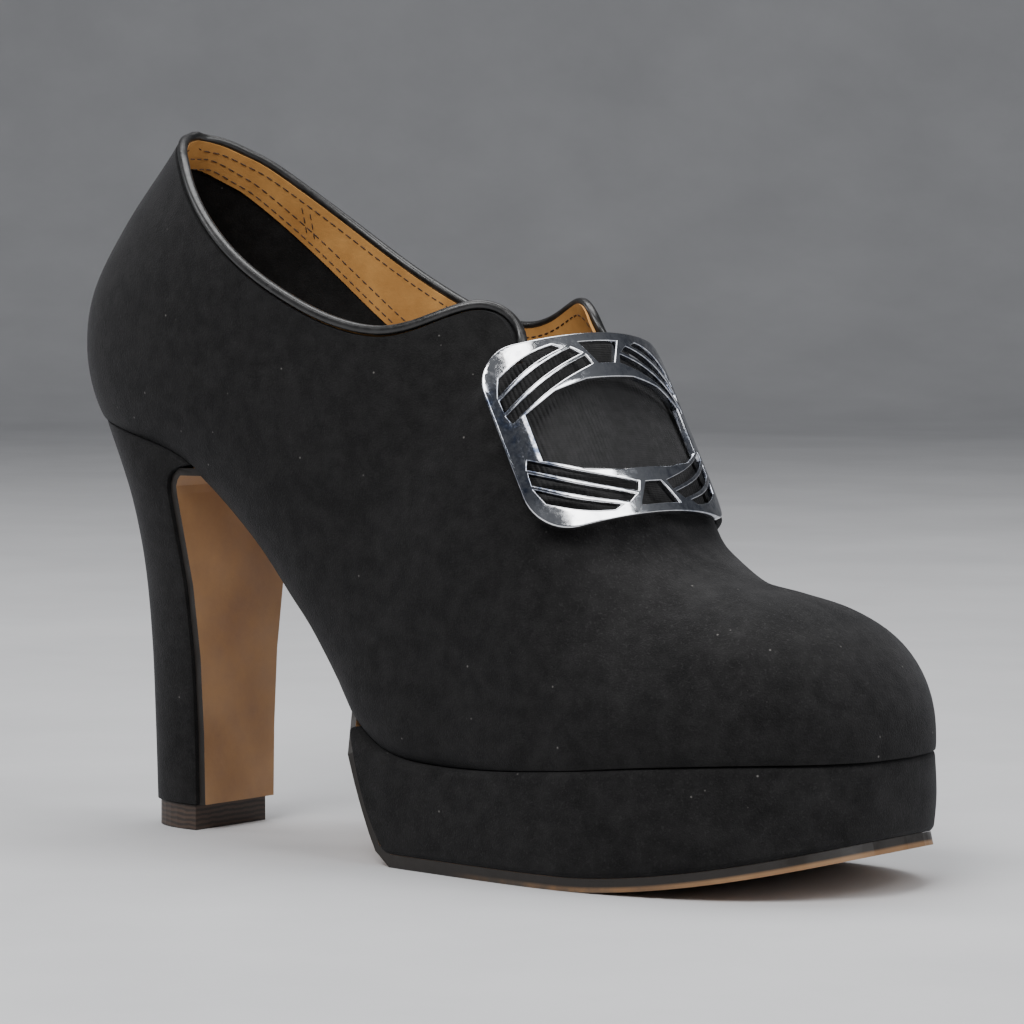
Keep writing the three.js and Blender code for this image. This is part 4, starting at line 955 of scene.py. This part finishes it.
plated, tree, shader, place = material("plated_metal", roughness=0.2, metallic=1.0)
blotch = spread(tree, noise(tree, place, 420, 5, 0.7), 0.42, 0.62)
scratch = spread(tree, noise(tree, place, 1500, 3, 0.5), 0.45, 0.65)
centre = buckle_frame.translation
from_centre = add_node(tree, "ShaderNodeVectorMath", {0: place, 1: centre}, operation="SUBTRACT").outputs[0]
climb, over = (add_node(tree, "ShaderNodeVectorMath", {0: from_centre, 1: buckle_frame.col[k].to_3d()},
                        operation="DOT_PRODUCT").outputs["Value"] for k in (1, 0))
# painted dark reflection: the plating's colour is made blue grey on the outer strip and towards the inner
# side, where the polished chrome mirrors dark surroundings
strip = spread(tree, over, -23.5 * MM, -20.5 * MM, 1.0, 0.0)
in_middle = spread(tree, times(tree, climb, 0, "ABSOLUTE"), 13 * MM, 18 * MM, 1.0, 0.0)
inner_side = spread(tree, over, -7 * MM, 8 * MM, 0.0, 0.8)
painted_dark_reflection = times(tree, times(tree, strip, in_middle), inner_side, "MAXIMUM")
painted_dark_reflection = times(tree, painted_dark_reflection, times(tree, times(tree, blotch, 0.4), 0.6, "ADD"))
shine = mix_colour(tree, blotch, (0.92, 0.92, 0.93, 1), (0.80, 0.81, 0.84, 1))
tone = mix_colour(tree, painted_dark_reflection, shine, (0.09, 0.11, 0.16, 1))
tree.links.new(tone, shader.inputs["Base Color"])
rough = times(tree, spread(tree, blotch, 0, 1, 0.07, 0.16), times(tree, scratch, 0.05), "ADD")
tree.links.new(rough, shader.inputs["Roughness"])
dents = times(tree, noise(tree, place, 420, 3, 0.5), 0.012 * MM)
dome = times(tree, times(tree, climb, climb), -DOME_RISE / (BUCKLE_LENGTH / 2) ** 2)
bump(tree, shader, times(tree, dents, dome, "ADD"), 1.0)
for piece, node in ((buckle, "buckle"), (stud, "strap_stud")):
    paint(piece, plated)
    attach(piece, "root")
    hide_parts(node)


# Platform: a thick block under the forefoot, covered in the upper's suede, with softly rounded
# edges, a slanting rear and an underside that rises to the toe.
TURN_UNDER = 6 * MM
OUTSOLE_THICKNESS = 3 * MM
SOLE_GAP = 0.06 * MM
TOE_SPRING = 10 * MM
SPRING_POWER = 1.7
TREAD_END = 165 * MM
PLATFORM_ROLL = 2.2 * MM
PLATFORM_REAR_TOP = 98 * MM
PLATFORM_REAR_BOTTOM = 111 * MM
TIP_REST = 1 * MM
PLATFORM_SIDE = np.array([
    (0, 0.5), (0.03, 0.25), (0.10, 0.06), (0.45, -0.15), (0.87, 0.0), (0.96, 0.15), (1.0, 0.50),
])


def plan_points(side, x, inset):
    """The sole's outline seen from above, narrowed by an inset."""
    step = 0.4 * MM
    y = side_reach(side, x, feather_height(x) + TURN_UNDER)
    ahead = side_reach(side, np.minimum(x + step, SHOE_LENGTH - 0.02 * MM), feather_height(x) + TURN_UNDER)
    behind = side_reach(side, x - step, feather_height(x) + TURN_UNDER)
    length = np.hypot(2 * step, ahead - behind)
    return x + side * (ahead - behind) / length * inset, y - side * 2 * step / length * inset


def platform_height(level, x):
    spring = TOE_SPRING * np.maximum(0, (x - TREAD_END) / (SHOE_LENGTH - TREAD_END)) ** SPRING_POWER
    low = OUTSOLE_THICKNESS + SOLE_GAP + spring
    return low + (feather_height(x) - SEAM_GAP - low) * level


rings = []
for level, inset in through_rows(PLATFORM_SIDE, np.linspace(0, len(PLATFORM_SIDE) - 1, 31)):
    inset *= PLATFORM_ROLL
    rear = PLATFORM_REAR_BOTTOM + (PLATFORM_REAR_TOP - PLATFORM_REAR_BOTTOM) * level + inset
    xs = rear + (SHOE_LENGTH - TIP_REST - rear) * (1 - np.cos(np.linspace(0, math.pi, 110))) / 2
    sides = []
    for side in (-1, 1):
        px, py = plan_points(side, xs, inset)
        sides.append(np.stack([px, py, platform_height(level, px)], 1))
    tip_x = SHOE_LENGTH - inset
    tip = np.array([[tip_x, TOE_SWAY, platform_height(level, tip_x)]])
    rings.append(np.concatenate([sides[0], tip, sides[1][::-1]]))
platform = loft("platform_cover", rings)
smooth(platform, 50)
paint(platform, suede("platform_suede", 0.30))
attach(platform, "root")
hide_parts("platform")


# Heel: a high turned block covered in the same suede, round at the back and flat in front, wider
# where it cups the seat and flaring forward under the waist.
LIFT_HEIGHT = 6 * MM
HEEL_BREAST = 36.5 * MM
HEEL_BASE_LENGTH = 20.5 * MM
HEEL_BASE_WIDTH = 27 * MM
HEEL_TOP_WIDTH = 48.5 * MM
BREAST_FLARE = 7 * MM
SEAT_BACK = 2.5 * MM
HEEL_SQUARENESS = 2.2
FLARE_START = 0.88
FLARE_POWER = 2.4
HEEL_PROFILE = np.array([
    (0.00, 1.000, 0.000), (0.20, 0.960, 0.030), (0.42, 0.930, 0.140), (0.62, 0.870, 0.370),
    (0.78, 0.745, 0.690), (0.90, 0.480, 0.920), (1.00, 0.000, 1.000),
])
heel_fine = through_rows(HEEL_PROFILE, np.linspace(0, len(HEEL_PROFILE) - 1, 200))
rings = []
for level in np.linspace(0, 1, 60):
    back_share, width_share = (np.interp(level, heel_fine[:, 0], heel_fine[:, k]) for k in (1, 2))
    rear = SEAT_BACK + (HEEL_BREAST - HEEL_BASE_LENGTH - SEAT_BACK) * back_share
    half_width = (HEEL_BASE_WIDTH + (HEEL_TOP_WIDTH - HEEL_BASE_WIDTH) * width_share) / 2
    front = HEEL_BREAST + BREAST_FLARE * max(0, (level - FLARE_START) / (1 - FLARE_START)) ** FLARE_POWER
    turns = np.linspace(0, math.pi, 70)
    x = front - (front - rear) * np.sin(turns) ** (2 / HEEL_SQUARENESS)
    y = half_width * np.sign(np.cos(turns)) * np.abs(np.cos(turns)) ** (2 / HEEL_SQUARENESS)
    low = LIFT_HEIGHT + SEAM_GAP
    rings.append(np.stack([x, y, low + (feather_height(x) - SEAM_GAP - low) * level], 1))
heel = loft("heel_cover", rings)
round_edges(heel, 0.5 * MM)
settle(heel)
smooth(heel, 45)
paint(heel, suede("heel_suede", 0.25))
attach(heel, "root")
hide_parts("heel")


# Outsole: one sheet of tan sole leather from the heel's breast under the waist and the platform to
# the toe. Its face is smooth, the tread is scuffed grey, and the cut edge is stained dark.
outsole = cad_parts["outsole"]
round_edges(outsole, 0.2 * MM)
smooth(outsole, 40)
sole, tree, shader, place = material("sole_leather", roughness=0.5)
axes = add_node(tree, "ShaderNodeSeparateXYZ", {0: place})
tone = mottle(tree, place, 60, (0.27, 0.135, 0.055), (0.42, 0.24, 0.11), detail=5, rough=0.6)
floor_near = spread(tree, axes.outputs["Z"], 0.0, 3.5 * MM, 1.0, 0.0)
scuff = spread(tree, noise(tree, place, 180, 5, 0.65), 0.36, 0.60)
tone = mix_colour(tree, times(tree, floor_near, scuff), tone, (0.085, 0.070, 0.055, 1))
# the cut edge: faces that look sideways anywhere, or forward under the toe, but not the worn
# lower corner from the ball to the toe, where the stain has rubbed off
facing_way = tree.nodes.new("ShaderNodeTexCoord").outputs["Normal"]
facing_axes = add_node(tree, "ShaderNodeSeparateXYZ", {0: facing_way})
sideways = spread(tree, times(tree, facing_axes.outputs["Y"], 0, "ABSOLUTE"), 0.50, 0.62)
upright = spread(tree, times(tree, facing_axes.outputs["Z"], 0, "ABSOLUTE"), 0.55, 0.45)
under_toe = spread(tree, axes.outputs["X"], 0.050, 0.055)
cut_edge = times(tree, sideways, times(tree, upright, under_toe), "MAXIMUM")
past_ball = (TREAD_END - BACK_TO_CENTRE, SHOE_LENGTH - TREAD_END)
rise_share = spread(tree, axes.outputs["X"], past_ball[0], past_ball[0] + past_ball[1])
spring = times(tree, times(tree, rise_share, SPRING_POWER, "POWER"), TOE_SPRING)
above_tread = times(tree, axes.outputs["Z"], spring, "SUBTRACT")
rubbed = times(tree, spread(tree, above_tread, 0.7 * MM, 1.3 * MM, 1.0, 0.0),
               spread(tree, axes.outputs["X"], 0.02, 0.06))
stain = times(tree, cut_edge, times(tree, 1.0, times(tree, rubbed, 0.6), "SUBTRACT"))
tone = mix_colour(tree, stain, tone, (0.011, 0.008, 0.006, 1))
tree.links.new(tone, shader.inputs["Base Color"])
tree.links.new(spread(tree, noise(tree, place, 240, 3), 0.3, 0.7, 0.38, 0.62), shader.inputs["Roughness"])
bump(tree, shader, noise(tree, place, 800, 4, 0.6), 0.12 * MM, 0.5)
paint(outsole, sole)


# Heel lift: the hard rubber piece nailed under the heel, scuffed where it meets the floor.
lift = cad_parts["heel_lift"]
round_edges(lift, 0.35 * MM)
smooth(lift, 40)
rubber, tree, shader, place = material("lift_rubber", roughness=0.55)
stripes = add_node(tree, "ShaderNodeTexWave", {"Vector": place, "Scale": 260, "Distortion": 3, "Detail": 3},
                   bands_direction="Z")
tone = mix_colour(tree, spread(tree, stripes.outputs["Fac"], 0.2, 0.8), (0.022, 0.014, 0.010, 1),
                  (0.060, 0.036, 0.024, 1))
tree.links.new(tone, shader.inputs["Base Color"])
bump(tree, shader, noise(tree, place, 500, 4, 0.6), 0.15 * MM, 0.6)
paint(lift, rubber)


# Insole: the tan leather that the foot stands on, deep inside the shoe.
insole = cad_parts["insole"]
smooth(insole, 40)
paint(insole, tan)


# Floor and light: a plain pale floor that curves up behind, and soft lights from the front left,
# from above and from both sides, with a small one in front that the buckle mirrors.
FLOOR_END = 2.2
FLOOR_CURVE = 0.8
rows = [(-1.6, 0.0), (FLOOR_END, 0.0)]
rows += [(FLOOR_END + math.sin(a) * FLOOR_CURVE, FLOOR_CURVE - math.cos(a) * FLOOR_CURVE)
         for a in np.linspace(0.1, 1.5, 12)]
rows.append((FLOOR_END + FLOOR_CURVE, 3.2))
heading = Vector((-math.sin(VIEW_TURN), math.cos(VIEW_TURN), 0))
across_view = Vector((math.cos(VIEW_TURN), math.sin(VIEW_TURN), 0))
mesh = bpy.data.meshes.new("floor")
points = [heading * far + across_view * side + Vector((0, 0, z)) for far, z in rows for side in (-3, 3)]
mesh.from_pydata(points, [], [(2 * k, 2 * k + 1, 2 * k + 3, 2 * k + 2) for k in range(len(rows) - 1)])
floor = link_object("floor", mesh)
smooth(floor, 60)
pale, tree, shader, place = material("pale_floor", roughness=0.8)
tone = mottle(tree, place, 9, (0.50, 0.50, 0.51), (0.57, 0.57, 0.58), detail=5, rough=0.6)
tree.links.new(tone, shader.inputs["Base Color"])
paint(floor, pale)


def soft_light(name, place, size, power, colour=(1, 1, 1)):
    """A soft light that faces the shoe."""
    lamp = bpy.data.lights.new(name, "AREA")
    lamp.shape = "RECTANGLE"
    lamp.size, lamp.size_y = size
    lamp.energy = power
    lamp.color = colour
    light = bpy.data.objects.new(name, lamp)
    light.location = place
    light.rotation_euler = (Vector((0, 0, 0.07)) - Vector(place)).to_track_quat("-Z", "Y").to_euler()
    bpy.context.collection.objects.link(light)


soft_light("key_light", (0.15, -0.95, 1.15), (0.9, 0.6), 20)
soft_light("top_light", (-0.20, 0.35, 1.5), (1.2, 0.9), 18)
soft_light("side_light", (1.3, 0.25, 0.75), (0.5, 0.9), 9, (0.96, 0.98, 1.0))
soft_light("left_light", (-1.3, -0.5, 0.7), (0.5, 0.9), 5)
soft_light("buckle_light", (0.865, -0.16, 0.98), (0.32, 0.60), 4)
world = bpy.data.worlds.new("world")
bpy.context.scene.world = world
world.use_nodes = True
world.node_tree.nodes["Background"].inputs["Color"].default_value = (0.55, 0.58, 0.64, 1)
world.node_tree.nodes["Background"].inputs["Strength"].default_value = 0.20
